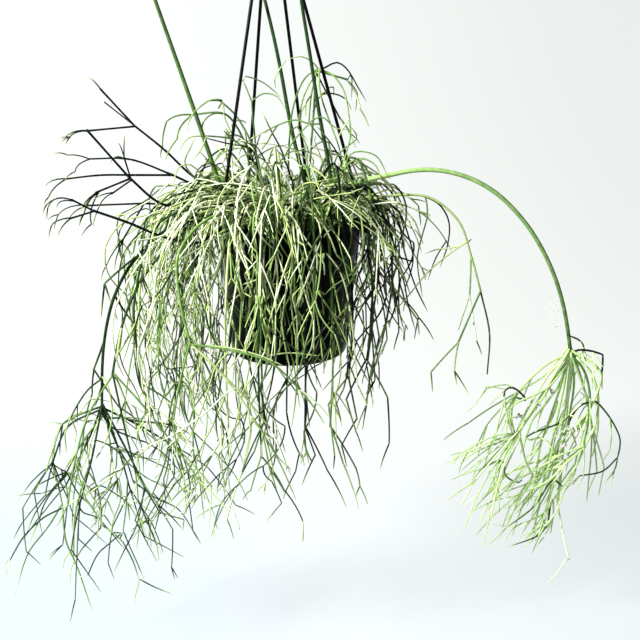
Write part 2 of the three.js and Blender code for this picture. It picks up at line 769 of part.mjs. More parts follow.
function stemIsClear(shoot) {
  const [, ...overSoil] = mainStem(shoot);
  const radius = shoot.thick[0] * ROUND_UP;
  return isClearOfPot(overSoil, radius) && isClear(overSoil, radius, shoot.name);
}

// The main stems and limbs are set out first, so that no side piece is put where one of them runs
function reserve(shoot) {
  occupy(mainStem(shoot), shoot.thick[0] * ROUND_UP, shoot.name);
  for (const limb of shoot.limbs ?? []) {
    occupy(limbStem(shoot, limb), limb.thick[0] * ROUND_UP, shoot.name);
  }
}

// A whole shoot: its main stem, its limbs and the short pieces that spring from them.
// A piece starts thin on the axis of the one that bears it, a little back from the next.
function growShoot(shoot) {
  const draw = drawsFrom(shoot.seed);
  const pieces = [];
  const { length, sweep, spread, droop } = shoot.grow ?? {};

  function spring(from, along, radius, back) {
    for (let i = 0; i < TRIES; i++) {
      const heading = unit(add(along, scale(unit(sweep), SWEEP_SHARE)));
      const angle = (spread * mix(...SPREAD_RANGE, draw()) * Math.PI) / 180;
      const towards = leaning(heading, angle, 2 * Math.PI * draw());
      const reach = length * mix(...LENGTH_RANGE, draw());
      const points = sagging(from, towards, reach, droop * mix(...DROOP_RANGE, draw()));
      if (isClearOfPot(points, radius) && isClear(points, radius * ROUND_UP, shoot.name)) {
        occupy(points, radius * ROUND_UP, shoot.name);
        const start = sub(from, scale(along, back));
        pieces.push({
          points: [start, ...points.slice(1)],
          radii: [radius * ROOT_TAPER, radius, radius * TIP_TAPER],
        });
        return points;
      }
    }
    return null;
  }

  function sprout(from, along, radius, count, again) {
    for (let i = 0; i < count; i++) {
      const grown = spring(from, along, radius, radius * STAGGER * (i + 1));
      if (grown && again > 0) {
        sprout(grown[2], unit(sub(grown[2], grown[1])), radius * FINER, again, 0);
      }
    }
  }

  const stem = mainStem(shoot);
  const last = stem.length - 1;
  pieces.push({
    points: stem,
    radii: stem.map((_, i) => mix(...shoot.thick, Math.max(i - 1, 0) / (last - 1))),
  });
  if (shoot.sides) {
    const step = shoot.thick[0] > THICK_STEM ? 2 : 1;
    for (let i = Math.ceil(last * shoot.sides.from); i < last; i += step) {
      const along = unit(sub(stem[i + 1], stem[i - 1]));
      const again = draw() < shoot.sides.forks ? 2 : 0;
      sprout(stem[i], along, shoot.thick[1] * FINER, 1, again);
    }
  }
  const heading = unit(sub(stem[last], stem[last - 1]));
  sprout(stem[last], heading, shoot.thick[1] * FINER, shoot.whorl ?? 0, 1);
  (shoot.limbs ?? []).forEach((limb, k) => {
    const [, ...joints] = limbStem(shoot, limb);
    const start = sub(stem[last], scale(heading, limb.thick[0] * LIMB_STAGGER * (k + 1)));
    const swell = between(start, joints[0], SWELL);
    const end = joints.length - 1;
    const radii = joints.map((_, i) => mix(...limb.thick, i / Math.max(end, 1)));
    pieces.push({
      points: [start, swell, ...joints],
      radii: [limb.thick[0] * LIMB_ROOT_TAPER, limb.thick[0], ...radii],
    });
    const before = end > 0 ? joints[end - 1] : swell;
    sprout(joints[end], unit(sub(joints[end], before)), limb.thick[1], limb.fan, limb.again ?? 0);
  });
  return pieces;
}

function stemBody(pieces) {
  return joined(pieces.map(({ points, radii }) => {
    const sides = Math.max(...radii) > THICK_STEM ? THICK_STEM_SIDES : STEM_SIDES;
    return rod(points, radii.map((r) => r * ROUND_UP), sides);
  }));
}

// Colours
const COLOURS = {
  pot: { color: 0x17191c, roughness: 0.42 },
  soil: { color: 0x2c2018, roughness: 0.96 },
  hanger: { color: 0x121315, roughness: 0.38 },
  mint: { color: 0x7fae74, roughness: 0.5 },
  green: { color: 0x5f8a3c, roughness: 0.5 },
  pale: { color: 0x9dbb62, roughness: 0.5 },
  dark: { color: 0x34522a, roughness: 0.5 },
};

const plant = new THREE.Group();

function put(name, body, colour) {
  const material = new THREE.MeshStandardMaterial({ metalness: 0, ...COLOURS[colour] });
  const mesh = new THREE.Mesh(geometryOf(body), material);
  mesh.name = name;
  plant.add(mesh);
}

for (const azimuth of Object.values(STRAND_AZIMUTHS)) {
  occupy(strandEnds(azimuth), BALL_RADIUS, "hanger");
}
LONG_SHOOTS.forEach(reserve);
const shoots = [...LONG_SHOOTS, ...RINGS.flatMap(ringShoots)];

put("pot", makePot(), "pot");
put("soil", makeSoil(shoots), "soil");
for (const [place, azimuth] of Object.entries(STRAND_AZIMUTHS)) {
  put("hanger_strand_" + place, makeStrand(azimuth), "hanger");
}
put("hanger_hook", makeHook(), "hanger");
for (const shoot of shoots) {
  put(shoot.name, stemBody(growShoot(shoot)), shoot.colour);
}

plant.position.set(...scale(hookBearing, -1));
export default plant;
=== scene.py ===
"""Dresses a mistletoe cactus in its black plastic hanging pot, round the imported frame.

The stems grow by the same rules and seeds as the plain solids, in millimetres from the middle
of the pot's foot, so that each fine shoot lies where its solid does. More stems then fill the
plant out. All places are in those millimetres, and placed() takes them to the frame's metres.
"""
import json
import math

import bpy
from bpy.props import FloatProperty, FloatVectorProperty, IntProperty, PointerProperty
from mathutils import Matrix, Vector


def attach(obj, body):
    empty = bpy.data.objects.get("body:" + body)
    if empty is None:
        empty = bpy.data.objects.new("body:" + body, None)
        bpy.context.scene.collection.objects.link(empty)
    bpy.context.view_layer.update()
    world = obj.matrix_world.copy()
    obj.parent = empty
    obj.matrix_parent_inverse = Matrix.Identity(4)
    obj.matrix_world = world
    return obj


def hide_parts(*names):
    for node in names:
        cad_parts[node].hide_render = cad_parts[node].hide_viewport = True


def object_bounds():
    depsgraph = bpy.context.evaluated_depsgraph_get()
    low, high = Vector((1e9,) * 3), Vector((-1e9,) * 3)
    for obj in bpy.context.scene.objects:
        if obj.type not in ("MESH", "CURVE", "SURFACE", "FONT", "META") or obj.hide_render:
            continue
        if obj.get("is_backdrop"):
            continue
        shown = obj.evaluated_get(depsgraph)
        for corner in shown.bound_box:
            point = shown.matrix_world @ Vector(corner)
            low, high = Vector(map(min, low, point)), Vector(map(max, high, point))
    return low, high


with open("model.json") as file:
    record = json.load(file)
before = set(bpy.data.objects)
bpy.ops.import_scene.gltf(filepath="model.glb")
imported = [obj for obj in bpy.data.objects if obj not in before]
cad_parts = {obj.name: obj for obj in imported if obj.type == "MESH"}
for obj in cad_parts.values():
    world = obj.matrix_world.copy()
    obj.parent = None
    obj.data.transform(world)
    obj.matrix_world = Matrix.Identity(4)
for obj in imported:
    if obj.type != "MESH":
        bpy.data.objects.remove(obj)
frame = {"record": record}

CAD_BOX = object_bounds()

bl_info = {
    "name": "Mistletoe Cactus in a Hanging Pot",
    "version": (1, 0, 0),
    "blender": (4, 5, 0),
    "location": "View3D > Sidebar > Cactus",
    "description": "Models a trailing mistletoe cactus, its pot, hanger and studio stage",
    "category": "Object",
}

# Places are in millimetres from the middle of the pot's foot, which is at FOOT in the frame
FOOT = next(mount["pos_m"] for mount in frame["record"]["mounts"] if mount["name"] == "foot")
MM = 0.001

# Pot and hanger, in millimetres from the middle of the foot, as in the part's source
RIM_RADIUS = 87.5
FOOT_RADIUS = 70
POT_HEIGHT = 164
WALL = 2
COLLAR_HEIGHT = 40
COLLAR_OUT = 2.5
COLLAR_TAPER = 3.5
SOIL_DROP = 14
SOIL_CROWN = 3
ROOT_DEPTH = 14
FIT_GAP = 0.3
DRAIN_HOLES = 6
DRAIN_RADIUS = 4
DRAIN_RING = 46
DRAIN_TURN = 15
STRAND_AZIMUTHS = {"front_left": 214, "back_left": 126, "back_right": 74, "front_right": -12}
STRAND_RADIUS = 1.9
BALL_RADIUS = 3.3
LUG_REACH = 93
LUG_RADIUS = 6.5
LUG_THICK = 3
LUG_BELOW_RIM = 6
LUG_HOLE_RADIUS = 3
HUB_LEAN = -15
HUB_HEIGHT = 497
HUB_RADIUS = 15
HUB_THICK = 4
HUB_RING = 9.5
HUB_HOLE_RADIUS = 2.8
HOOK_RADIUS = 14
HOOK_ROD = 2.6
HOOK_NECK = 18
NECK_STRAIGHT = 0.7
KNOB_RADIUS = 3.4
HOOK_FROM = -62
HOOK_TO = 218
HOOK_BENDS = 12
SOIL_TOP = POT_HEIGHT - SOIL_DROP

# Stems, as in the part's source
JOINT_SPACING = 46
THICK_STEM = 2.2
ROUND_UP = 1.2
SWELL = 0.3
STAGGER = 1.5
LIMB_STAGGER = 1.05
FINER = 0.9
SWEEP_SHARE = 0.6
CLOSER = 0.6
KEEP_CLEAR = 0.5
TRIES = 9
CELL = 40
NEAR_START = 5
SPREAD_RANGE = (0.5, 1.5)
LENGTH_RANGE = (0.7, 1.3)
DROOP_RANGE = (0.6, 1.4)
POT_SAMPLES = (0.125, 0.25, 0.375, 0.5, 0.625, 0.75, 0.875, 1)

# Fine stems: a ring's place along its length, its share of the thickness, how much of a joint it is
BEADS = ((0, 0.86, 1), (0.045, 1.05, 0.4), (0.13, 1.02, 0), (0.3, 0.97, 0), (0.5, 0.95, 0),
         (0.7, 0.97, 0), (0.87, 1.02, 0), (0.955, 1.05, 0.4))
TWIG_BEADS = ((0, 0.7, 1), (0.05, 1.02, 0.5), (0.15, 1.0, 0), (0.32, 0.96, 0), (0.5, 0.94, 0),
              (0.68, 0.93, 0), (0.84, 0.93, 0), (0.95, 0.95, 0.1), (1, 0.8, 0.6))
TIP_BEADS = ((0, 0.7, 1), (0.05, 1.02, 0.5), (0.15, 1.0, 0), (0.34, 0.95, 0), (0.55, 0.88, 0),
             (0.74, 0.78, 0), (0.88, 0.66, 0), (0.96, 0.5, 0), (1, 0.24, 0))
TWIG_SIDES = 6
STEM_SIDES = 7
THICK_SIDES = 10

# How pale each colour's stems are, from 0, darkest, to 1, palest, how much darker the rings'
# shoots that hang at the right are, as painted shade, and what share of its solid's thickness
# a fine stem has
TONES = dict(mint=(0.6, 0.95), green=(0.08, 1.0), pale=(0.4, 1.15), dark=(-0.2, 0.1))
SHADE = 0.42
SLIM = 0.86

# Drawn lengths, in millimetres: how far apart their rings are, and how near an end they narrow
RING_SPACING = 6
JOINT_RUN = 4
JOINT_PINCH = 0.22
POINTED_RUN = 14
POINTED_END = 0.25
YOUNG_RUN = 24

# Shares of a twig's length and of a free stem's thickness
YOUNG_FROM = 0.45
OLD_YOUTH = 0.3
FREE_ENDS = (0.92, 0.84, 0.74, 0.6)
FREE_TIP = 0.3
THICK_WAIST = 0.25

# More twigs at a shoot's ends: their seed, most number and lengths. Then how tones are drawn.
MORE_SEED = 5000
MORE_TWIGS = 2.6
MORE_LENGTH = (0.4, 0.8)
TONE_SEED = 9000
STEM_TONES = 0.6

# A whole turn, how near to an axis a direction may lie before its side is taken from another, and
# what counts as nothing in sums of lengths and of squares
FULL_TURN = 2 * math.pi
STEEP = 0.9
SIDEWAYS = 0.8
SLACK = 1e-6
TINY = 1e-9


def add(a, b):
    return (a[0] + b[0], a[1] + b[1], a[2] + b[2])


def sub(a, b):
    return (a[0] - b[0], a[1] - b[1], a[2] - b[2])


def scaled(a, k):
    return (a[0] * k, a[1] * k, a[2] * k)


def dot(a, b):
    return a[0] * b[0] + a[1] * b[1] + a[2] * b[2]


def cross(a, b):
    return (a[1] * b[2] - a[2] * b[1], a[2] * b[0] - a[0] * b[2], a[0] * b[1] - a[1] * b[0])


def size(a):
    return math.sqrt(dot(a, a))


def unit(a):
    return scaled(a, 1 / size(a))


def mix(a, b, t):
    return a + (b - a) * t


def between(a, b, t):
    return (mix(a[0], b[0], t), mix(a[1], b[1], t), mix(a[2], b[2], t))


def around(azimuth, radius, z):
    turn = math.radians(azimuth)
    return (radius * math.cos(turn), radius * math.sin(turn), z)


def placed(point):
    """A point in millimetres from the foot, as metres in the frame."""
    return tuple(f + p * MM for f, p in zip(FOOT, point))


def draws_from(seed):
    """Seeded draws between 0 and 1, the same as those of the part's source."""
    full = 0xFFFFFFFF
    state = seed & full

    def draw():
        nonlocal state
        state = (state + 0x6D2B79F5) & full
        t = state
        t = ((t ^ (t >> 15)) * (t | 1)) & full
        t ^= (t + (((t ^ (t >> 7)) * (t | 61)) & full)) & full
        return ((t ^ (t >> 14)) & full) / 4294967296

    return draw


def groups(text):
    """Groups of numbers, such as places, from a text with spaces between the groups."""
    return [tuple(map(float, group.split(","))) for group in text.split()]


def rows(text):
    """The groups of numbers on each line of a text."""
    return [groups(line) for line in text.strip().splitlines()]


def limbs(text):
    """Limbs from lines of text: thickness at both ends and twigs at the end, then the places."""
    return [dict(thick=(thick, thin), fan=int(fan), route=route)
            for (thick, thin, fan), *route in rows(text)]


# The long shoots: the routes of the part's source. A limb is its thickness at both ends, how many
# twigs fan out from its end, and its places from the shoot's end on. With again, the twigs fork.
LONG_SHOOTS = [
    dict(
        name="shoot_arch_right", seed=11, colour="mint", thick=(3, 2.3),
        tone=(0.8, 0.28),
        route=groups("44,-5,150 58,-5,200 110,-5,213 169,-5,224 228,-10,208 277,-15,166 "
                     "312,-21,110 331,-25,56 340,-28,6"),
        limbs=limbs("""
            1.7,1.2,4 374,-40,5 377,-38,-22 366,-34,-75
            1.6,1.2,6 316,-40,-28 274,-58,-92
            1.6,1.2,5 330,-30,-45 312,-22,-124
            1.5,1.2,5 352,-20,-40 345,-12,-118
            1.4,1.1,3 318,-12,-30 285,6,-62
            1.4,1.1,3 362,-16,-38 384,4,-108
            1.6,1.2,5 340,-6,-60 330,12,-172
        """),
        grow=dict(length=74, sweep=(-0.66, 0, -0.7), spread=20, droop=0.12),
    ),
    dict(
        name="shoot_second_right", seed=12, colour="green", thick=(1.9, 1.4),
        tone=(0.75, 0.6), sides=(0.72, 0.6),
        route=groups("48,-30,150 80,-31,188 119,-32,195 150,-34,198 181,-38,187 203,-43,160 "
                     "213,-46,125 225,-50,85"),
        limbs=limbs("""
            1.4,1.2,2 199,-60,25
            1.3,1,0 240,-45,37 239,-40,-20
        """),
        grow=dict(length=42, sweep=(0, 0, -1), spread=34, droop=0.15),
    ),
    dict(
        name="shoot_tall_left", seed=13, colour="green", thick=(2.8, 1.9),
        tone=(0.38, 0.34),
        route=groups("-62,-18,150 -69,-20,178 -105,-30,297 -140,-40,409 -158,-45,468"),
    ),
    dict(
        name="shoot_tall_middle", seed=14, colour="green", thick=(2.6, 1.8),
        tone=(0.26, 0.2),
        route=groups("28,20,150 20,20,205 5,25,257 -9,30,340 -25,35,410 -40,39,462"),
    ),
    dict(
        name="shoot_tall_right", seed=15, colour="green", thick=(2.5, 1.7),
        tone=(0.26, 0.16),
        route=groups("54,-14,150 51,-15,216 38,-18,279 27,-20,351 17,-22,409 12,-30,458"),
    ),
    dict(
        name="shoot_upper_left_1", seed=16, colour="dark", thick=(2, 1.5),
        route=groups("-48,14,150 -72,12,188 -108,10,205 -139,5,239 -178,0,272"),
        limbs=limbs("""
            1.5,1.2,1 -197,0,294 -214,0,313
            1.4,1.1,2 -204,-6,271 -232,-12,266
            1,0.8,0 -194,8,288 -212,10,297
        """),
        grow=dict(length=17, sweep=(-0.8, 0, 0.1), spread=26, droop=0.35),
    ),
    dict(
        name="shoot_upper_left_2", seed=17, colour="dark", thick=(2, 1.6),
        route=groups("-50,-6,150 -76,-13,187 -109,-20,204 -134,-25,219"),
        limbs=limbs("""
            1.4,1.1,2 -156,-30,231 -191,-35,240 -224,-40,238
            1.6,1.2,3 -156,-28,217 -200,-38,221 -250,-45,216
        """),
        grow=dict(length=24, sweep=(-0.7, 0, -0.1), spread=30, droop=0.45),
    ),
    dict(
        name="shoot_upper_left_3", seed=18, colour="dark", thick=(2.2, 1.7),
        route=groups("-58,-34,150 -84,-42,187 -129,-52,180 -152,-60,200 -174,-68,222"),
        limbs=limbs("""
            1.6,1.2,1 -191,-75,252 -214,-80,275
            1.4,1.2,4 -208,-85,207
            1.2,1,3 -178,-66,244
            1.2,1,2 -190,-86,206
        """),
        grow=dict(length=28, sweep=(-0.7, 0, -0.2), spread=40, droop=0.4),
    ),
    dict(
        name="shoot_upper_left_4", seed=19, colour="dark", thick=(1.8, 1.4),
        route=groups("-36,4,150 -70,0,178 -112,-6,179 -171,-10,182"),
        limbs=limbs("""
            1.4,1.1,2 -199,-8,188 -238,-2,178
            1.3,1.1,3 -184,-16,168 -194,-20,140
        """),
        grow=dict(length=32, sweep=(-0.5, 0, -0.7), spread=30, droop=0.5),
    ),
    dict(
        name="shoot_low_dark", seed=20, colour="dark", thick=(2.2, 1.7),
        route=groups("-42,-46,150 -58,-62,181 -76,-78,170 -92,-87,150 -118,-95,153 -175,-110,182 "
                     "-205,-118,194"),
        limbs=limbs("""
            1.3,1.1,3 -226,-120,206
            1.3,1.1,2 -228,-124,186
        """),
        grow=dict(length=26, sweep=(-0.7, 0, -0.5), spread=30, droop=0.6),
    ),
    dict(
        name="shoot_left_arc_1", seed=21, colour="dark", thick=(2.6, 2),
        sides=(0.5, 0.3), shade=-0.2, again=1,
        route=groups("-34,-22,150 -58,-28,182 -88,-33,181 -141,-46,158 -173,-60,129 -196,-65,92 "
                     "-208,-68,55 -216,-70,9 -220,-70,-54"),
        limbs=limbs("""
            1.5,1.2,4 -258,-66,-62 -284,-70,-122
            1.6,1.2,4 -184,-74,-66 -140,-66,-100
            1.5,1.2,3 -226,-88,-90 -246,-104,-160
            1.5,1.2,3 -208,-58,-96 -196,-50,-170
            1.5,1.2,3 -240,-50,-94 -280,-40,-170
            1.5,1.2,3 -196,-86,-84 -166,-104,-140
        """),
        grow=dict(length=52, sweep=(0, 0, -0.8), spread=38, droop=0.12),
    ),
    dict(
        name="shoot_left_arc_2", seed=22, colour="green", thick=(2.3, 1.7),
        sides=(0.42, 0.5), again=1,
        route=groups("-22,-34,150 -50,-49,186 -84,-64,181 -130,-80,150 -166,-94,106 -186,-104,56 "
                     "-196,-112,4"),
        limbs=limbs("""
            1.4,1.2,3 -226,-122,-38 -240,-136,-92
            1.4,1.2,3 -184,-126,-44 -170,-140,-104
            1.4,1.2,3 -160,-118,-30 -128,-120,-78
        """),
        grow=dict(length=50, sweep=(0.1, 0, -0.8), spread=36, droop=0.15),
    ),
    dict(
        name="shoot_front", seed=23, colour="pale", thick=(2.1, 1.7),
        route=groups("-18,-56,150 -40,-75,186 -70,-98,187 -102,-118,174 -115,-134,148 "
                     "-114,-142,112 -107,-146,80 -101,-148,52"),
        limbs=limbs("""
            1.5,1.2,2 -58,-156,50 -18,-161,43 18,-162,5
            1.4,1.1,2 -54,-152,8 -17,-150,-43
            1.4,1.1,2 -116,-150,8 -124,-150,-36
        """),
        grow=dict(length=40, sweep=(0.3, 0, -0.8), spread=30, droop=0.2),
    ),
    dict(
        name="shoot_crown_left", seed=24, colour="green", thick=(1.7, 1.3),
        sides=(0.5, 0.4), whorl=2,
        route=groups("-18,10,150 -38,6,228 -64,-2,280 -86,-5,297 -111,-8,284"),
        grow=dict(length=26, sweep=(-0.6, 0, -0.6), spread=34, droop=0.5),
    ),
    dict(
        name="shoot_crown_right", seed=25, colour="green", thick=(1.7, 1.4),
        sides=(0.5, 0.4),
        route=groups("22,2,150 27,6,242 32,10,300 33,10,334"),
        limbs=limbs("""
            1.4,1.1,2 53,10,341 70,12,322
            1.2,1,2 50,18,316 62,22,276
            1.2,1,1 20,8,312 12,2,268
        """),
        grow=dict(length=30, sweep=(0.3, 0, -0.8), spread=30, droop=0.4),
    ),
]

# The rings of shoots, as in the part's source, and how much paler than drawn each ring is
RINGS = [
    dict(
        name="shoot_skirt", seed=300,
        azimuths=(2, 17, 33, 50, 92, 108, 142, 157, 174, 246, 262, 278, 294, 310, 326),
        root=66, lift=38, reach=150, reach_lean=32, reach_front=-32, low=48, low_front=118,
        thick=(1.8, 1.3), sides=(0.4, 0.15), whorl=2, length=48, paler=0,
    ),
    dict(
        name="shoot_dome", seed=400,
        azimuths=(20, 46, 100, 150, 236, 260, 284, 308, 332),
        root=44, lift=84, reach=118, reach_lean=24, reach_front=-18, low=128, low_front=34,
        thick=(1.7, 1.2), sides=(0.3, 0.15), whorl=2, length=42, paler=0.22,
    ),
]
LEAN_AZIMUTH = 190
FRONT_AZIMUTH = 262
NUDGES = (0, 3, -3, 6, -6, 9, -9, 12, -12)
LEAST_REACH = RIM_RADIUS + 3 * LUG_RADIUS
UNEVEN = dict(reach=16, low=40, crest=16, twist=10)
SHOULDER_DROP = 12
SIDE_SEED = 50
RING_COLOURS = ("pale", "green", "green", "dark")
RING_GROW = dict(sweep=(0, 0, -1), spread=36, droop=0.3)


def ring_route(ring, azimuth, draw):
    """A route from the soil over the rim and down to a ring's low end, by a few draws."""

    def uneven(span):
        return span * (draw() - 0.5)

    def toward(other):
        return math.cos(math.radians(azimuth - other))

    front = max(toward(FRONT_AZIMUTH), 0)
    lean = ring["reach_lean"] * toward(LEAN_AZIMUTH) + ring["reach_front"] * front
    reach = max(ring["reach"] + lean + uneven(UNEVEN["reach"]), LEAST_REACH)
    low = ring["low"] - ring["low_front"] * front + uneven(UNEVEN["low"])
    crest = POT_HEIGHT + ring["lift"] + uneven(UNEVEN["crest"])
    twist = uneven(UNEVEN["twist"])
    brim = max(ring["root"] + SHOULDER_DROP, RIM_RADIUS)
    return [
        around(azimuth, ring["root"], SOIL_TOP),
        around(azimuth, ring["root"] + 3, mix(SOIL_TOP, crest, 0.5)),
        around(azimuth + twist * 0.2, brim, crest),
        around(azimuth + twist * 0.5, mix(brim, reach, 0.66), crest - SHOULDER_DROP),
        around(azimuth + twist, reach, mix(crest, low, 0.4)),
        around(azimuth + twist, reach + 4, mix(crest, low, 0.72)),
        around(azimuth + twist, reach - 4, low),
    ]


def ring_shoots(ring, room):
    """Each shoot of a ring, at the first nudge of its azimuth where its stem is clear."""
    shoots = []
    for i, azimuth in enumerate(ring["azimuths"]):
        for nudge in NUDGES:
            shoot = dict(
                name=f"{ring['name']}_{i + 1}",
                seed=ring["seed"] + SIDE_SEED + i,
                route=ring_route(ring, azimuth + nudge, draws_from(ring["seed"] + i)),
                thick=ring["thick"],
                colour=RING_COLOURS[i % len(RING_COLOURS)],
                sides=ring["sides"],
                whorl=ring["whorl"],
                grow=dict(length=ring["length"], **RING_GROW),
            )
            if room.fits(shoot):
                room.reserve(shoot)
                shoots.append(shoot)
                break
        else:
            raise RuntimeError(f"{ring['name']}_{i + 1} has no room")
    return shoots


def smoothed(route):
    """A route with its corners cut twice."""
    points = [tuple(p) for p in route]
    for _ in range(2):
        cut = [points[0]]
        for i in range(1, len(points)):
            if i > 1:
                cut.append(between(points[i - 1], points[i], 0.25))
            if i < len(points) - 1:
                cut.append(between(points[i - 1], points[i], 0.75))
        cut.append(points[-1])
        points = cut
    return points


def evenly(points, spacing):
    total = sum(size(sub(b, a)) for a, b in zip(points, points[1:]))
    count = max(math.floor(total / spacing + 0.5), 1)
    step = total / count
    even = [points[0]]
    due = step
    for a, b in zip(points, points[1:]):
        stretch = size(sub(b, a))
        while due < stretch + SLACK and len(even) < count:
            even.append(between(a, b, due / stretch))
            due += step
        due -= stretch
    even.append(points[-1])
    return even


def joints_along(route, thick):
    return evenly(smoothed(route), JOINT_SPACING * (CLOSER if thick[0] > THICK_STEM else 1))


def leaning(along, angle, turn):
    """A direction at an angle from another, turned about it."""
    side = unit(cross(along, (0, 0, 1) if abs(along[2]) < STEEP else (1, 0, 0)))
    up = cross(side, along)
    out = add(scaled(side, math.cos(turn)), scaled(up, math.sin(turn)))
    return unit(add(scaled(along, math.cos(angle)), scaled(out, math.sin(angle))))


def strayed(along, angles, draw):
    """A direction at a drawn angle from another, turned about it by a draw."""
    return leaning(along, math.radians(mix(*angles, draw())), FULL_TURN * draw())


def sagging(start, towards, length, droop):
    """One stem piece: two straight lengths, the second sagging from the first."""
    first = unit(add(towards, (0, 0, -droop * 0.5)))
    middle = add(start, scaled(first, length * SWELL))
    second = unit(add(first, (0, 0, -droop)))
    return [start, middle, add(middle, scaled(second, length * (1 - SWELL)))]


def apart(a, b, c, d):
    """Shortest distance between two straight lengths."""
    u, v, w = sub(b, a), sub(d, c), sub(a, c)
    uu, uv, vv, uw, vw = dot(u, u), dot(u, v), dot(v, v), dot(u, w), dot(v, w)
    flat = uu * vv - uv * uv
    s = min(max((uv * vw - vv * uw) / flat, 0), 1) if flat > TINY else 0
    t = min(max((uv * s + vw) / vv, 0), 1)
    s = min(max((uv * t - uw) / uu, 0), 1) if uu > TINY else 0
    return size(sub(add(a, scaled(u, s)), add(c, scaled(v, t))))


def short_lengths(points):
    for a, b in zip(points, points[1:]):
        pieces = math.ceil(size(sub(b, a)) / CELL)
        for k in range(pieces):
            yield between(a, b, k / pieces), between(a, b, (k + 1) / pieces)


def wall_radius(z):
    return mix(FOOT_RADIUS, RIM_RADIUS - COLLAR_OUT, z / POT_HEIGHT)


def is_clear_of_pot(points, radius):
    """Clear of the pot: over its rim, inside the rim and over the soil, or outside."""
    mouth = wall_radius(SOIL_TOP) - WALL
    for a, b in zip(points, points[1:]):
        for share in POT_SAMPLES:
            x, y, z = between(a, b, share)
            out = math.hypot(x, y)
            if z > POT_HEIGHT + radius + LUG_THICK:
                continue
            if z > SOIL_TOP + SOIL_CROWN and out < mouth - radius:
                continue
            if out > RIM_RADIUS + radius + LUG_RADIUS:
                continue
            if z < POT_HEIGHT - JOINT_SPACING and out > wall_radius(z) + radius + LUG_RADIUS:
                continue
            return False
    return True


def main_stem(shoot):
    x, y, _ = shoot["route"][0]
    crown = (x, y, SOIL_TOP + SOIL_CROWN + 1)
    joints = joints_along([crown, *shoot["route"][1:]], shoot["thick"])
    return [(x, y, SOIL_TOP - ROOT_DEPTH), *joints]


def limb_stem(shoot, limb):
    return joints_along([shoot["route"][-1], *limb["route"]], limb["thick"])


def strand_ends(azimuth):
    lug_top = POT_HEIGHT - LUG_BELOW_RIM
    eye = around(azimuth, LUG_REACH, lug_top - LUG_THICK / 2)
    socket = add(around(azimuth, HUB_RING, HUB_HEIGHT + HUB_THICK / 2), (HUB_LEAN, 0, 0))
    along = unit(sub(socket, eye))
    past = (LUG_THICK / 2 + BALL_RADIUS + FIT_GAP) / along[2]
    above = (HUB_THICK / 2 + BALL_RADIUS + FIT_GAP) / along[2]
    return [sub(eye, scaled(along, past)), add(socket, scaled(along, above))]


class Room:
    """What is already in place, kept in a coarse grid of cells."""

    def __init__(self):
        self.taken = {}
        for azimuth in STRAND_AZIMUTHS.values():
            self.occupy(strand_ends(azimuth), BALL_RADIUS, "hanger")
        for shoot in LONG_SHOOTS:
            self.reserve(shoot)

    @staticmethod
    def cell(a, b):
        return tuple(math.floor(c / CELL) for c in between(a, b, 0.5))

    def occupy(self, points, radius, owner):
        for a, b in short_lengths(points):
            self.taken.setdefault(self.cell(a, b), []).append((a, b, radius, owner))

    def is_clear(self, points, radius, owner):
        start = points[0]
        for a, b in short_lengths(points):
            cx, cy, cz = self.cell(a, b)
            near = [
                other
                for x in range(cx - 1, cx + 2)
                for y in range(cy - 1, cy + 2)
                for z in range(cz - 1, cz + 2)
                for other in self.taken.get((x, y, z), ())
            ]
            for c, d, thick, kin in near:
                if kin == owner and apart(start, start, c, d) < NEAR_START:
                    continue
                if apart(a, b, c, d) < radius + thick + KEEP_CLEAR:
                    return False
        return True

    def reserve(self, shoot):
        self.occupy(main_stem(shoot), shoot["thick"][0] * ROUND_UP, shoot["name"])
        for limb in shoot.get("limbs", ()):
            self.occupy(limb_stem(shoot, limb), limb["thick"][0] * ROUND_UP, shoot["name"])

    def fits(self, shoot):
        over_soil = main_stem(shoot)[1:]
        radius = shoot["thick"][0] * ROUND_UP
        return (is_clear_of_pot(over_soil, radius)
                and self.is_clear(over_soil, radius, shoot["name"]))


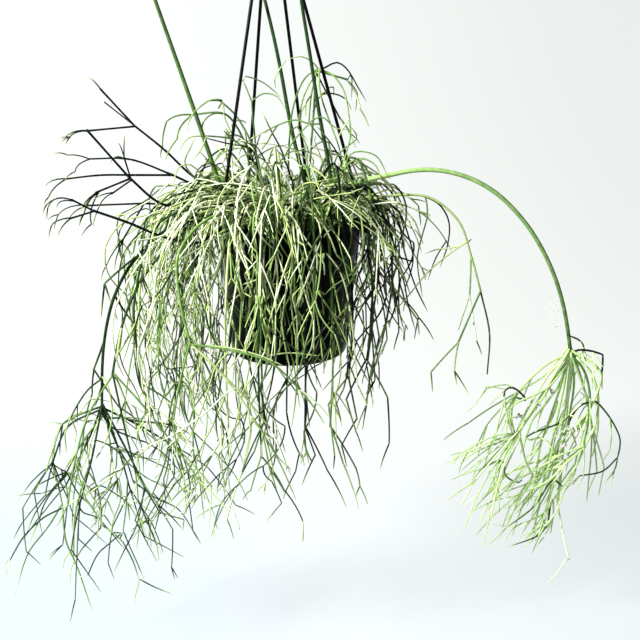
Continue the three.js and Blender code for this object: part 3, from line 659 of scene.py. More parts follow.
def grow_shoot(shoot, room):
    """A whole shoot: its stems, the twigs that spring from them, and the twigs' free ends."""
    draw = draws_from(shoot["seed"])
    stems, twigs, ends = [], [], []
    grow = shoot.get("grow", {})

    def spring(start, along, radius, back):
        for _ in range(TRIES):
            heading = unit(add(along, scaled(unit(grow["sweep"]), SWEEP_SHARE)))
            angle = math.radians(grow["spread"] * mix(*SPREAD_RANGE, draw()))
            towards = leaning(heading, angle, FULL_TURN * draw())
            reach = grow["length"] * mix(*LENGTH_RANGE, draw())
            points = sagging(start, towards, reach, grow["droop"] * mix(*DROOP_RANGE, draw()))
            wide = radius * ROUND_UP
            if is_clear_of_pot(points, radius) and room.is_clear(points, wide, shoot["name"]):
                room.occupy(points, wide, shoot["name"])
                twig = [sub(start, scaled(along, back)), *points[1:]]
                twigs.append(dict(points=twig, radius=radius, is_tip=True))
                return points
        return None

    def sprout(start, along, radius, count, again):
        for i in range(count):
            grown = spring(start, along, radius, radius * STAGGER * (i + 1))
            if not grown:
                continue
            heading = unit(sub(grown[2], grown[1]))
            if again > 0:
                twigs[-1]["is_tip"] = False
                sprout(grown[2], heading, radius * FINER, again, 0)
            else:
                ends.append(dict(twig=twigs[-1], at=grown[2], along=heading, radius=radius))

    stem = main_stem(shoot)
    last = len(stem) - 1
    thick = shoot["thick"]
    stems.append(dict(
        points=stem,
        radii=[mix(*thick, max(i - 1, 0) / (last - 1)) for i in range(last + 1)],
        is_free="grow" not in shoot,
    ))
    if shoot.get("sides"):
        share, forks = shoot["sides"]
        for i in range(math.ceil(last * share), last, 2 if thick[0] > THICK_STEM else 1):
            along = unit(sub(stem[i + 1], stem[i - 1]))
            again = 2 if draw() < forks else 0
            sprout(stem[i], along, thick[1] * FINER, 1, again)
    heading = unit(sub(stem[last], stem[last - 1]))
    sprout(stem[last], heading, thick[1] * FINER, shoot.get("whorl", 0), 1)
    for k, limb in enumerate(shoot.get("limbs", ())):
        joints = limb_stem(shoot, limb)[1:]
        start = sub(stem[last], scaled(heading, limb["thick"][0] * LIMB_STAGGER * (k + 1)))
        end = len(joints) - 1
        radii = [mix(*limb["thick"], i / max(end, 1)) for i in range(end + 1)]
        stems.append(dict(points=[start, *joints], radii=[limb["thick"][0], *radii], is_free=False))
        before = joints[end - 1] if end > 0 else between(start, joints[0], SWELL)
        along = unit(sub(joints[end], before))
        sprout(joints[end], along, limb["thick"][1], limb["fan"], shoot.get("again", 0))
    return stems, twigs, ends


# Stems that only the dressed plant has, by draws between the two ends of each range: azimuths and
# angles in degrees, lengths in millimetres, tones from 0, darkest, to 1, palest. Those with a
# reach arch over the rim and fall to their low end. The others rise from the soil at a lean.
FILLINGS = [
    dict(name="filling_front", seed=1001, count=17, azimuths=(206, 308), root=(24, 72),
         lift=(60, 18), reach=(100, 158), low=(60, -110), tone=(-0.2, 1.08)),
    dict(name="filling_low", seed=1002, count=16, azimuths=(208, 286), root=(24, 72),
         lift=(56, 16), reach=(100, 150), low=(-30, -150), thick=(1.4, 1.0), tone=(-0.15, 1.0)),
    dict(name="filling_left", seed=1003, count=46, azimuths=(146, 226), root=(14, 70),
         lift=(62, 14), reach=(108, 208), low=(120, -110), thick=(1.2, 0.82), tone=(-0.3, 1.0)),
    # The right filling's tones are darker: painted shade on the plant's right side
    dict(name="filling_right", seed=1004, count=12, azimuths=(-40, 48), root=(20, 72),
         lift=(56, 14), reach=(102, 158), low=(140, 20), thick=(1.45, 1.1), tone=(-0.6, 0.4)),
    dict(name="filling_back", seed=1005, count=30, azimuths=(52, 142), root=(14, 72),
         lift=(60, 16), reach=(104, 180), low=(130, -10), tone=(0.2, 1.1)),
    dict(name="filling_crown", seed=1006, count=54, azimuths=(0, 360), root=(2, 68),
         lean=(12, 74), steps=(3, 5), above=34, tone=(0.66, 1.12)),
    dict(name="filling_mat", seed=1007, count=80, azimuths=(0, 360), root=(8, 78),
         lean=(24, 84), steps=(2, 4), above=4, thick=(1.0, 0.7), tone=(0.62, 1.1)),
]
FILLING_THICK = (1.1, 0.76)
FILLING_LENGTH = (24, 54)
FILLING_SPACING = (38, 54)
LEAST_THICK = 0.72
ROOT_TWIST = 110
ROOT_DEEP = 0.6
HEAD_TWIST = 40
WANDER = 15
STIFF = 0.4
KICK = (6, 28)
PULL = (0, 0.22, 0.42, 0.26, 0.3)
SAG = (0.02, 0.26)
REDRAWS = 10
STEP_TAPER = 0.97
# Painted shade: a trail's first joints, near the soil, are darker, and each later one paler
STEP_PAINTED_SHADE = 0.1
FORK_KICK = (24, 56)
FORK_SHARE = 0.42
FORK_TAPER = 0.9
FORK_TONE = 0.3
FORK_DARKER = 0.4
FORK_STEPS = 2.5
FORK_FROM = 3
END_SHARE = 0.4
FALLING_END_SHARE = 0.6
END_COUNT = 3
END_KICK = (10, 40)
END_LENGTH = (7, 18)
END_SAG = 0.2
END_TAPER = 0.8
END_TONE = 0.7
LIFT_SHARE = (0.6, 1)
# Painted shade on falling stems of shorter reach, painted light on their first joints near the
# crest
REACH_PAINTED_SHADE = 0.4
CREST_PAINTED_LIGHT = 0.25
HIGH_JOINTS = 3
FALL_TAPER = 0.08
FALL_STEPS = 3

# The whole plant's outline: its reach and its lowest and highest places, and how much of each is
# due to its left side and to its front
OUTLINE = dict(reach=192, reach_left=26, reach_front=40, low=40, low_left=120, low_front=170,
               top=255, top_curve=0.0036, top_left=0.0005)
BOX_ROOM = 0.012


def is_in_crown(point, above):
    """Inside the whole plant's outline: wide on its left, and hanging low at its front."""
    x, y, z = point
    out, azimuth = math.hypot(x, y), math.degrees(math.atan2(y, x))
    left = math.cos(math.radians(azimuth - LEAN_AZIMUTH))
    front = max(math.cos(math.radians(azimuth - FRONT_AZIMUTH)), 0)
    line = OUTLINE
    reach = line["reach"] + line["reach_left"] * left - line["reach_front"] * front
    low = line["low"] - line["low_left"] * max(left, 0) - line["low_front"] * front ** 2
    top = line["top"] + above - out ** 2 * (line["top_curve"] - line["top_left"] * left)
    return out < reach and low < z < top


def is_inside_box(points):
    """Inside the frame's own box, with a little room at its sides."""
    return all(least - BOX_ROOM < value < most + BOX_ROOM
               for point in points for value, least, most in zip(placed(point), *CAD_BOX))


def trail(at, along, radius, steps, above, tone, draw, found, is_side=False):
    """A stem that goes on from joint to joint, forking as it goes."""
    before = None
    for step in steps:
        kick = FORK_KICK if is_side else KICK
        pull = PULL[min(step, len(PULL) - 1)]
        for _ in range(REDRAWS):
            towards = unit(add(strayed(along, kick, draw), (0, 0, -pull)))
            points = sagging(at, towards, mix(*FILLING_LENGTH, draw()), mix(*SAG, draw()))
            if is_clear_of_pot(points, radius) and all(is_in_crown(p, above) for p in points[1:]):
                break
        else:
            break
        # Painted shade: darker at the first joints, paler at the later ones
        twig = dict(points=points, radius=radius, is_tip=True, tone=tone + STEP_PAINTED_SHADE * (step - 2))
        found.append(twig)
        if before:
            before["is_tip"] = False
        before = twig
        at, along = points[2], unit(sub(points[2], points[1]))
        is_side = False
        radius = max(radius * STEP_TAPER, LEAST_THICK)
        if draw() < FORK_SHARE and step + 1 in steps:
            twig["is_tip"] = False
            ahead = range(step + 1, min(steps.stop, step + 2 + int(draw() * FORK_STEPS)))
            fork(at, along, radius, ahead, above, tone, draw, found)
    if before and draw() < END_SHARE:
        before["is_tip"] = False
        end_twigs(at, along, radius, draw, found)


def fork(at, along, radius, steps, above, tone, draw, found):
    """A side stem, a little thinner than the stem that it leaves, in a tone near its own."""
    tone += FORK_TONE * (draw() - FORK_DARKER)
    trail(at, along, max(radius * FORK_TAPER, LEAST_THICK), steps, above, tone, draw, found, True)


def end_twigs(at, along, radius, draw, found):
    """A few short young twigs at a stem's end."""
    for _ in range(1 + int(draw() * END_COUNT)):
        points = sagging(at, strayed(along, END_KICK, draw), mix(*END_LENGTH, draw()), END_SAG)
        if is_clear_of_pot(points, radius):
            found.append(dict(points=points, radius=radius * END_TAPER, is_tip=True, tone=END_TONE))


def falling_stem(fill, root, azimuth, radius, tone, draw, found):
    """A stem that arches over the rim and falls, each of its joints a little off its route."""
    far = draw()
    ring = dict(root=math.hypot(root[0], root[1]), reach_lean=0, reach_front=0, low_front=0,
                reach=mix(*fill["reach"], far),
                lift=mix(*fill["lift"], far * mix(*LIFT_SHARE, draw())),
                low=mix(*fill["low"], draw()))
    route = smoothed(ring_route(ring, azimuth, draw))
    joints = evenly(route, mix(*FILLING_SPACING, draw()))
    at, along = root, (0, 0, 1)
    for i, joint in enumerate(joints[1:], 1):
        for k in range(REDRAWS):
            wander = 2 * WANDER * min((i - 1) / 2, 1) * (1 - k / (REDRAWS - 1))
            end = add(joint, tuple(wander * (draw() - 0.5) for _ in range(3)))
            ahead = sub(end, at)
            heading = unit(add(scaled(along, STIFF), scaled(unit(ahead), 1 - STIFF)))
            points = [at, add(at, scaled(heading, SWELL * size(ahead))), end]
            if is_clear_of_pot(points, radius):
                break
        else:
            return
        # Painted shade on stems of shorter reach, painted light on the joints near the crest
        shade = REACH_PAINTED_SHADE * (far - 0.5) + (CREST_PAINTED_LIGHT if i < HIGH_JOINTS else 0)
        found.append(dict(points=points, radius=radius, is_tip=i == len(joints) - 1,
                          tone=tone + shade))
        at, along = end, unit(sub(end, points[1]))
        radius = mix(radius, LEAST_THICK, FALL_TAPER)
        if i > 1 and draw() < FORK_SHARE:
            found[-1]["is_tip"] = False
            steps = range(FORK_FROM, FORK_FROM + 1 + int(draw() * FALL_STEPS))
            fork(at, along, radius, steps, 0, tone + shade, draw, found)
    if draw() < FALLING_END_SHARE:
        end_twigs(at, along, radius, draw, found)


def grow_filling(fill):
    """All the lengths of one filling's stems."""
    draw = draws_from(fill["seed"])
    lengths = []
    for i in range(fill["count"]):
        azimuth = mix(*fill["azimuths"], (i + draw()) / fill["count"])
        root = around(azimuth + ROOT_TWIST * (draw() - 0.5), mix(*fill["root"], draw()),
                      SOIL_TOP + SOIL_CROWN + 2)
        tone = mix(*fill["tone"], draw())
        radius = mix(*fill.get("thick", FILLING_THICK), draw())
        before = len(lengths)
        if "reach" in fill:
            falling_stem(fill, root, azimuth, radius, tone, draw, lengths)
        else:
            lean = math.radians(mix(*fill["lean"], draw()))
            heading = around(azimuth + HEAD_TWIST * (draw() - 0.5), math.sin(lean), math.cos(lean))
            steps = range(int(mix(fill["steps"][0], fill["steps"][1] + 1, draw())))
            trail(root, heading, radius, steps, fill["above"], tone, draw, lengths)
        if len(lengths) > before:
            lengths[before]["points"][0] = sub(root, (0, 0, ROOT_DEPTH * ROOT_DEEP))
    return lengths


# Stems drawn one by one: thickness at both ends, tone, 1 where the end is free, and the places
TUFT = rows("""
1.7,1.5,0.05,0 341,-28,4 351,-31,8 364,-36,8 376,-40,5
1.5,1.4,0.1,0 376,-40,5 378,-36,-16 377,-30,-50
1.4,1.2,0.25,0 377,-30,-60 395,-27,-81 409,-25,-105 412,-24,-120 411,-22,-137
1.2,1,0.3,1 411,-22,-137 407,-27,-152 394,-34,-166
1.3,1.2,0.2,0 411,-22,-137 396,-14,-160 370,-6,-170
1.3,1.2,0.2,0 337,-28,25 351,-25,18 358,-22,7 355,-20,-3 347,-18,-3
1.8,1.5,0.75,0 340,-28,2 315,-33,-7 294,-39,-23 276,-45,-42 270,-48,-58
1.9,1.6,0.85,0 340,-28,0 318,-35,-16 300,-43,-42 285,-50,-68 275,-56,-89
1.9,1.6,0.8,0 340,-28,-1 326,-31,-23 309,-35,-52 291,-38,-80 282,-40,-94
1.8,1.6,0.7,0 340,-28,-3 331,-26,-36 315,-23,-66 301,-22,-87 295,-20,-111
1.9,1.6,0.85,0 341,-28,-3 342,-22,-40 342,-17,-72 341,-13,-100 339,-8,-133
1.8,1.6,0.8,0 342,-28,-3 346,-19,-35 346,-11,-64 348,-3,-94 344,4,-121
1.8,1.6,0.35,0 345,-28,-2 359,-31,-21 366,-36,-51 365,-40,-86 361,-44,-112
2,1.7,0.8,0 348,-28,-3 367,-28,-22 378,-29,-54 377,-30,-90 366,-30,-118
1.7,1.6,0.75,0 343,-28,-3 356,-22,-31 367,-16,-56 373,-14,-67
1.5,1.4,0.2,0 375,-14,-66 359,-19,-69 346,-27,-85 345,-30,-93
1.5,1.3,0.75,1 382,-14,-70 387,-9,-102 386,-4,-135 383,-2,-150
1.7,1.5,0.8,0 339,-28,-8 312,-43,-36 274,-57,-49 268,-60,-53
1.5,1.4,0.15,0 286,-50,-49 270,-56,-32 258,-60,-32 256,-64,-44
1.4,1.3,0.8,0 256,-64,-40 262,-62,-67 269,-60,-87
1.4,1.2,0.8,1 257,-60,-48 251,-65,-69 247,-70,-89
1.5,1.4,0.7,0 272,-48,-43 265,-52,-65 273,-56,-89
1.6,0.9,0.8,1 273,-56,-90 251,-61,-90 227,-67,-98 204,-74,-110 190,-78,-122
1.6,0.9,0.85,1 273,-56,-91 243,-59,-100 216,-63,-112 189,-66,-126
1.5,0.9,0.75,1 274,-56,-93 253,-57,-102 226,-57,-114 207,-58,-131
1.5,0.9,0.8,1 274,-56,-94 257,-52,-113 238,-48,-139 224,-44,-162
1.4,0.9,0.8,1 275,-50,-98 255,-53,-127 232,-56,-172 214,-68,-216
1.4,0.9,0.7,1 279,-44,-101 263,-42,-131 255,-41,-152 254,-40,-177
1.4,0.9,0.8,1 282,-44,-101 267,-40,-146 252,-39,-209 242,-53,-246
1.5,1.3,0.45,0 261,-50,-128 267,-44,-151 284,-38,-164 290,-36,-161
1.6,1.4,0.85,0 281,-44,-94 292,-38,-133 303,-34,-156
1.5,1.4,0.3,0 295,-20,-111 305,-22,-103 331,-27,-90 345,-30,-77
1.7,1,0.8,1 363,-36,-116 334,-41,-125 309,-45,-140 281,-50,-155
1.7,1,0.85,1 363,-36,-117 342,-34,-135 307,-31,-164 268,-28,-183
1.7,1.1,0.8,1 364,-36,-117 340,-42,-138 316,-49,-159 278,-57,-172 261,-60,-175
1.7,1.3,0.75,0 364,-36,-118 354,-29,-155 334,-20,-197
1.6,1,0.8,1 339,-8,-133 317,-13,-159 295,-18,-184 274,-39,-226
1.6,1,0.85,1 339,-8,-133 331,-10,-163 310,-13,-193 286,-24,-216
1.6,1,0.75,1 339,-8,-133 336,-3,-177 322,-5,-212 299,-17,-245
1.5,1,0.3,1 332,-20,-169 319,-25,-187 304,-33,-204 270,-51,-220
1.5,1,0.8,1 334,-20,-197 324,-29,-210 306,-36,-216 293,-40,-219
1.6,0.9,0.2,1 331,-22,-203 326,-32,-226 311,-36,-241 277,-39,-253
1.4,0.9,0.9,1 334,-20,-197 325,-25,-223 313,-31,-250
1.4,0.9,0.9,1 335,-20,-197 335,-24,-223 324,-28,-246
1.5,1.1,0.95,0 337,-20,-190 341,-32,-212 344,-52,-236 348,-67,-255
1.1,0.8,0.95,1 343,-67,-255 334,-71,-271 320,-73,-284
1.5,1.2,0.7,0 344,4,-121 355,1,-110 363,-4,-128
1.5,1,0.85,1 344,4,-121 334,7,-154 325,11,-199 311,2,-223
1.5,1.1,0.8,1 301,-44,-151 289,-46,-177 274,-52,-205 269,-59,-217
1.5,1.2,0.85,0 358,-30,-151 344,-36,-175 335,-42,-199 325,-51,-209
1.4,1.3,0.75,0 298,-30,-110 307,-41,-102 315,-50,-103
1.5,1.3,0.8,0 268,-56,-55 271,-43,-78 279,-30,-102
1.6,1.4,0.7,0 331,-20,-64 325,-13,-94 310,-6,-120 308,0,-151
""")
LEFT_SPRAY = rows("""
1.6,1.4,0.1,0 -219,-70,-49 -238,-67,-57 -257,-64,-66 -270,-62,-75
1.4,1.3,0.15,0 -270,-62,-75 -281,-59,-97 -286,-57,-118 -288,-56,-130
1.1,0.8,0.7,1 -270,-62,-75 -261,-55,-71 -252,-47,-66 -250,-44,-63
1.1,0.8,0.1,1 -270,-62,-76 -279,-58,-75 -288,-54,-76
1.2,1,0.5,1 -272,-62,-76 -281,-70,-102 -288,-77,-122 -290,-80,-132
1.4,1.2,0.12,0 -221,-66,-18 -234,-74,-27 -245,-83,-42 -252,-90,-55
1.2,0.8,0.1,1 -288,-56,-130 -306,-50,-146 -321,-45,-162 -333,-46,-178
1.1,0.7,0.9,1 -332,-47,-176 -337,-49,-182 -344,-52,-190
1.2,1.1,0.05,0 -288,-56,-130 -276,-62,-135 -268,-66,-136
1.3,0.9,0.03,1 -268,-66,-136 -288,-73,-142 -306,-80,-150
1.3,1.2,0.35,0 -288,-56,-130 -282,-63,-148 -278,-69,-165 -273,-80,-177
1.3,1,0.08,0 -273,-80,-177 -295,-91,-185 -314,-107,-200 -322,-119,-212 -327,-127,-221
0.9,0.6,0.95,1 -329,-127,-221 -332,-131,-223 -336,-135,-225
0.9,0.6,0.95,1 -329,-127,-221 -330,-131,-228 -334,-136,-242
0.9,0.6,0.95,1 -328,-127,-221 -326,-135,-227 -322,-145,-234
0.9,0.6,0.95,1 -329,-127,-221 -332,-128,-233 -332,-128,-239
1.3,1.2,0.3,0 -273,-80,-177 -271,-89,-195 -267,-98,-214 -257,-106,-233
1.2,0.8,0.35,1 -257,-106,-233 -251,-111,-246 -243,-120,-265 -234,-130,-286
1.1,0.8,0.7,1 -257,-106,-233 -260,-115,-241 -258,-129,-253
1.1,0.8,0.65,1 -266,-103,-228 -271,-102,-237 -272,-102,-246
1.2,0.9,0.15,1 -268,-66,-136 -296,-59,-170 -310,-70,-189 -319,-80,-209
1.2,1,0.12,0 -269,-66,-140 -288,-71,-161 -297,-80,-176 -299,-91,-187
1.1,0.8,0.5,1 -299,-91,-187 -305,-105,-200 -306,-111,-207
1.3,1.1,0.3,0 -275,-77,-174 -287,-79,-194 -296,-79,-207
1.2,0.8,0.25,1 -296,-79,-207 -314,-90,-228 -322,-100,-247 -326,-108,-263
0.9,0.6,0.9,1 -326,-108,-263 -329,-110,-270 -330,-112,-278
1.5,1.3,0.05,0 -218,-70,-64 -198,-75,-62 -174,-81,-64 -149,-86,-64 -134,-90,-65
1.3,1,0.1,1 -134,-90,-65 -123,-95,-67 -114,-100,-71
1.4,1.2,0.1,0 -218,-70,-64 -207,-64,-82 -191,-58,-93 -172,-52,-104
1.2,0.9,0.12,1 -172,-52,-104 -155,-47,-119 -141,-43,-138 -134,-40,-152
1.3,1.1,0.1,1 -168,-96,-11 -145,-102,-22 -120,-110,-39
1.4,1.3,0.25,0 -123,-100,-5 -132,-97,-31 -137,-94,-54 -137,-92,-67
1.3,1.1,0.3,0 -137,-92,-67 -142,-90,-100 -150,-88,-126 -162,-86,-154
1.1,0.8,0.35,1 -162,-86,-154 -170,-86,-173 -177,-97,-188 -180,-113,-215
1.2,1,0.1,0 -137,-92,-67 -128,-83,-96 -121,-74,-130
1.2,0.8,0.15,1 -121,-74,-131 -141,-69,-155 -156,-73,-181 -168,-83,-199
1.1,0.9,0.05,1 -121,-74,-131 -116,-78,-131 -113,-80,-131
1.1,0.7,0.8,1 -114,-74,-136 -121,-83,-148 -126,-90,-156
1.4,1.3,0.3,0 -221,-70,-64 -240,-67,-87 -258,-63,-115 -270,-60,-139
1.4,1.2,0.8,0 -223,-70,-65 -235,-77,-93 -239,-84,-125
1.3,1.1,0.35,0 -239,-84,-125 -249,-86,-154 -255,-94,-179 -254,-113,-202 -252,-127,-221
1.3,1.2,0.4,0 -239,-84,-125 -230,-82,-146 -227,-81,-173 -225,-94,-192
1.2,1.1,0.3,0 -225,-94,-192 -209,-104,-197 -195,-115,-204
1.2,0.9,0.12,1 -195,-115,-204 -183,-125,-222 -175,-134,-242
1.1,0.8,0.05,1 -174,-134,-242 -157,-136,-251 -137,-138,-259
1,0.7,0.6,1 -176,-139,-250 -178,-146,-255 -178,-157,-264
1.2,0.8,0.12,1 -224,-95,-194 -238,-100,-209 -250,-104,-223 -257,-109,-238
1.2,1,0.1,0 -197,-109,-195 -214,-112,-209 -227,-115,-221 -238,-122,-244
0.9,0.6,0.9,1 -238,-122,-244 -245,-120,-247 -252,-118,-247
1.3,1.1,0.2,0 -219,-60,-68 -208,-55,-106 -198,-51,-131 -193,-48,-156
1.2,0.8,0.12,1 -193,-48,-156 -166,-51,-178 -138,-58,-189 -122,-69,-206 -112,-79,-221
1.2,1.1,0.3,0 -197,-60,-151 -198,-71,-178 -199,-93,-200
1.2,0.8,0.2,1 -199,-93,-200 -190,-106,-213 -179,-120,-228 -169,-134,-242
1.2,1,0.7,0 -151,-84,-84 -172,-86,-101 -193,-88,-117 -218,-90,-138
1.1,0.9,0.65,0 -218,-90,-138 -244,-84,-159 -273,-83,-176
1.3,1.1,0.9,0 -63,-140,-4 -90,-133,-32 -126,-124,-61 -145,-120,-72
1.1,0.7,0.9,1 -145,-120,-72 -161,-111,-82 -174,-104,-92
1.3,1,0.7,0 -65,-130,-51 -85,-125,-87 -100,-122,-117 -107,-120,-130
1,0.7,0.85,1 -107,-120,-130 -120,-115,-158 -135,-117,-179
1,0.7,0.9,1 -104,-120,-130 -105,-123,-137 -106,-126,-143
1.2,1,0.6,0 -68,-130,-15 -83,-126,-50 -99,-122,-82 -110,-118,-122
1.1,0.7,0.6,1 -102,-118,-118 -100,-116,-142 -98,-115,-174
1.1,0.7,0.55,1 -101,-118,-118 -93,-120,-143 -84,-122,-168
1.1,0.8,0.3,1 -228,-80,-88 -209,-75,-100 -191,-69,-125 -169,-63,-148 -156,-60,-153
1.2,0.8,0.08,1 -230,-72,-151 -208,-82,-157 -192,-90,-165 -180,-97,-171
1.2,0.8,0.1,1 -248,-87,-179 -233,-87,-185 -219,-90,-198 -197,-97,-225
1.2,0.8,0.5,1 -198,-64,-125 -207,-71,-145 -219,-79,-167 -221,-92,-180
1.2,0.8,0.6,1 -181,-79,-194 -186,-88,-203 -189,-95,-211
1.1,0.7,0.8,1 -178,-75,-189 -168,-83,-202 -153,-98,-230
1.2,1,0.55,0 -146,-52,-133 -152,-55,-162 -161,-70,-185 -168,-79,-194
1.1,0.8,0.3,1 -167,-79,-194 -168,-90,-205 -170,-101,-216
1.3,1.2,0.35,0 -218,-60,-68 -213,-70,-96 -210,-77,-118 -204,-84,-138
1.2,0.8,0.4,1 -204,-84,-138 -201,-88,-162 -208,-101,-182 -210,-118,-200
1.2,0.8,0.25,1 -218,-64,-102 -192,-58,-114 -164,-50,-131 -141,-44,-147
1.2,1.1,0.4,0 -226,-66,-68 -242,-62,-73 -249,-56,-99 -257,-48,-132
1.1,0.8,0.4,1 -257,-48,-132 -266,-45,-167 -267,-58,-188 -266,-72,-211
1.2,0.8,0.15,1 -271,-56,-142 -259,-61,-166 -242,-71,-178 -233,-81,-186
1.3,0.9,0.3,1 -168,-100,-11 -157,-103,-34 -169,-107,-55 -174,-110,-81
1.3,0.9,0.5,1 -194,-96,-7 -187,-92,-33 -178,-88,-62 -175,-84,-93
1.2,0.9,0.6,1 -207,-90,-15 -204,-87,-44 -209,-84,-74 -223,-80,-104
""")
CROWN_SPRAY = rows("""
1.4,1.2,0.35,0 -29,-30,215 -36,-21,244 -56,-8,280 -75,0,298
1.2,1,0.55,0 -72,-30,302 -86,-34,302 -101,-40,291
1,0.7,0.6,1 -101,-40,291 -108,-43,280 -110,-46,270
1,0.7,0.6,1 -71,-30,300 -69,-32,283 -56,-36,254
1.3,1.1,0.4,0 -35,10,205 -38,15,247 -42,20,297
1.1,0.8,0.5,0 -42,20,297 -48,23,312 -52,24,320
0.9,0.6,0.6,1 -52,24,320 -49,25,325 -49,26,328
0.9,0.6,0.6,1 -52,24,320 -57,22,321 -60,20,317
1.1,0.8,0.5,1 -42,20,297 -28,17,306 -12,14,303 -2,10,289
1.3,0.9,0.05,1 7,-10,204 -6,-7,242 -18,-6,265 -28,-4,286
1.2,1,0.3,0 -39,-40,224 -46,-43,247 -61,-46,261 -90,-50,265
1.1,0.7,0.65,1 -90,-50,265 -108,-53,263 -120,-56,247
1,0.7,0.6,1 -88,-50,265 -93,-54,252 -104,-60,238
1.3,0.8,0.05,0 -34,0,218 -41,-3,244 -68,-7,251 -94,-10,258
1.3,1.1,0.5,0 2,10,209 3,3,264 9,-2,299 21,-6,325 36,-8,335
1,0.7,0.7,1 36,-8,335 29,-11,343 16,-15,349 0,-20,345
1.2,1,0.55,0 36,-8,335 53,-14,328 66,-21,309 71,-30,282
1.1,0.8,0.5,1 71,-30,282 72,-35,261 62,-44,225
1.2,0.9,0.1,1 41,-8,335 57,-4,342 70,0,333 81,5,315 92,10,297
0.9,0.6,0.3,1 74,10,328 75,11,313 74,12,299
1.2,1,0.5,0 35,-8,335 28,-4,306 25,0,273
1.2,1,0.6,0 37,-8,335 38,-11,310 46,-14,285 59,-18,251
1.1,0.9,0.45,1 25,-18,275 10,-16,279 -10,-13,273 -33,-10,261
1.1,0.9,0.4,1 25,-18,275 40,-21,283 55,-24,271 68,-26,269
1.2,1,0.35,0 56,-4,211 48,-11,243 36,-16,262 26,-20,275
1.2,1,0.5,0 -11,-4,207 -2,-11,239 13,-16,262 26,-20,275
1.2,0.9,0.1,1 69,-14,209 59,-21,240 40,-28,267 32,-30,274
1.2,0.8,0.5,1 81,-50,210 68,-53,233 73,-54,246 88,-56,248 103,-57,241 114,-60,219
1.2,0.9,0.55,1 70,-40,209 66,-45,228 81,-50,240 99,-55,234 107,-60,216
1.2,0.9,0.4,1 59,-20,209 55,-23,233 66,-26,248 80,-28,260 72,-30,274
1.2,0.8,0.3,1 -68,20,203 -73,24,230 -73,28,261 -59,30,253
1.1,0.8,0.6,1 -83,10,201 -90,8,221 -73,5,241 -49,2,245 -34,0,241
1.2,0.8,0.5,1 -99,-20,206 -116,-30,230 -106,-37,254 -102,-40,261
1.1,0.8,0.65,1 -86,-30,207 -107,-40,231 -122,-44,228 -127,-50,210
1.1,0.8,0.3,1 -14,-10,204 -10,-15,228 6,-20,244 29,-26,243 44,-30,234
1.1,0.8,0.4,1 -50,0,202 -42,4,229 -19,7,244 1,10,248
1.1,0.8,0.6,1 -10,-20,206 -24,-36,235 -46,-49,244 -60,-60,231
""")
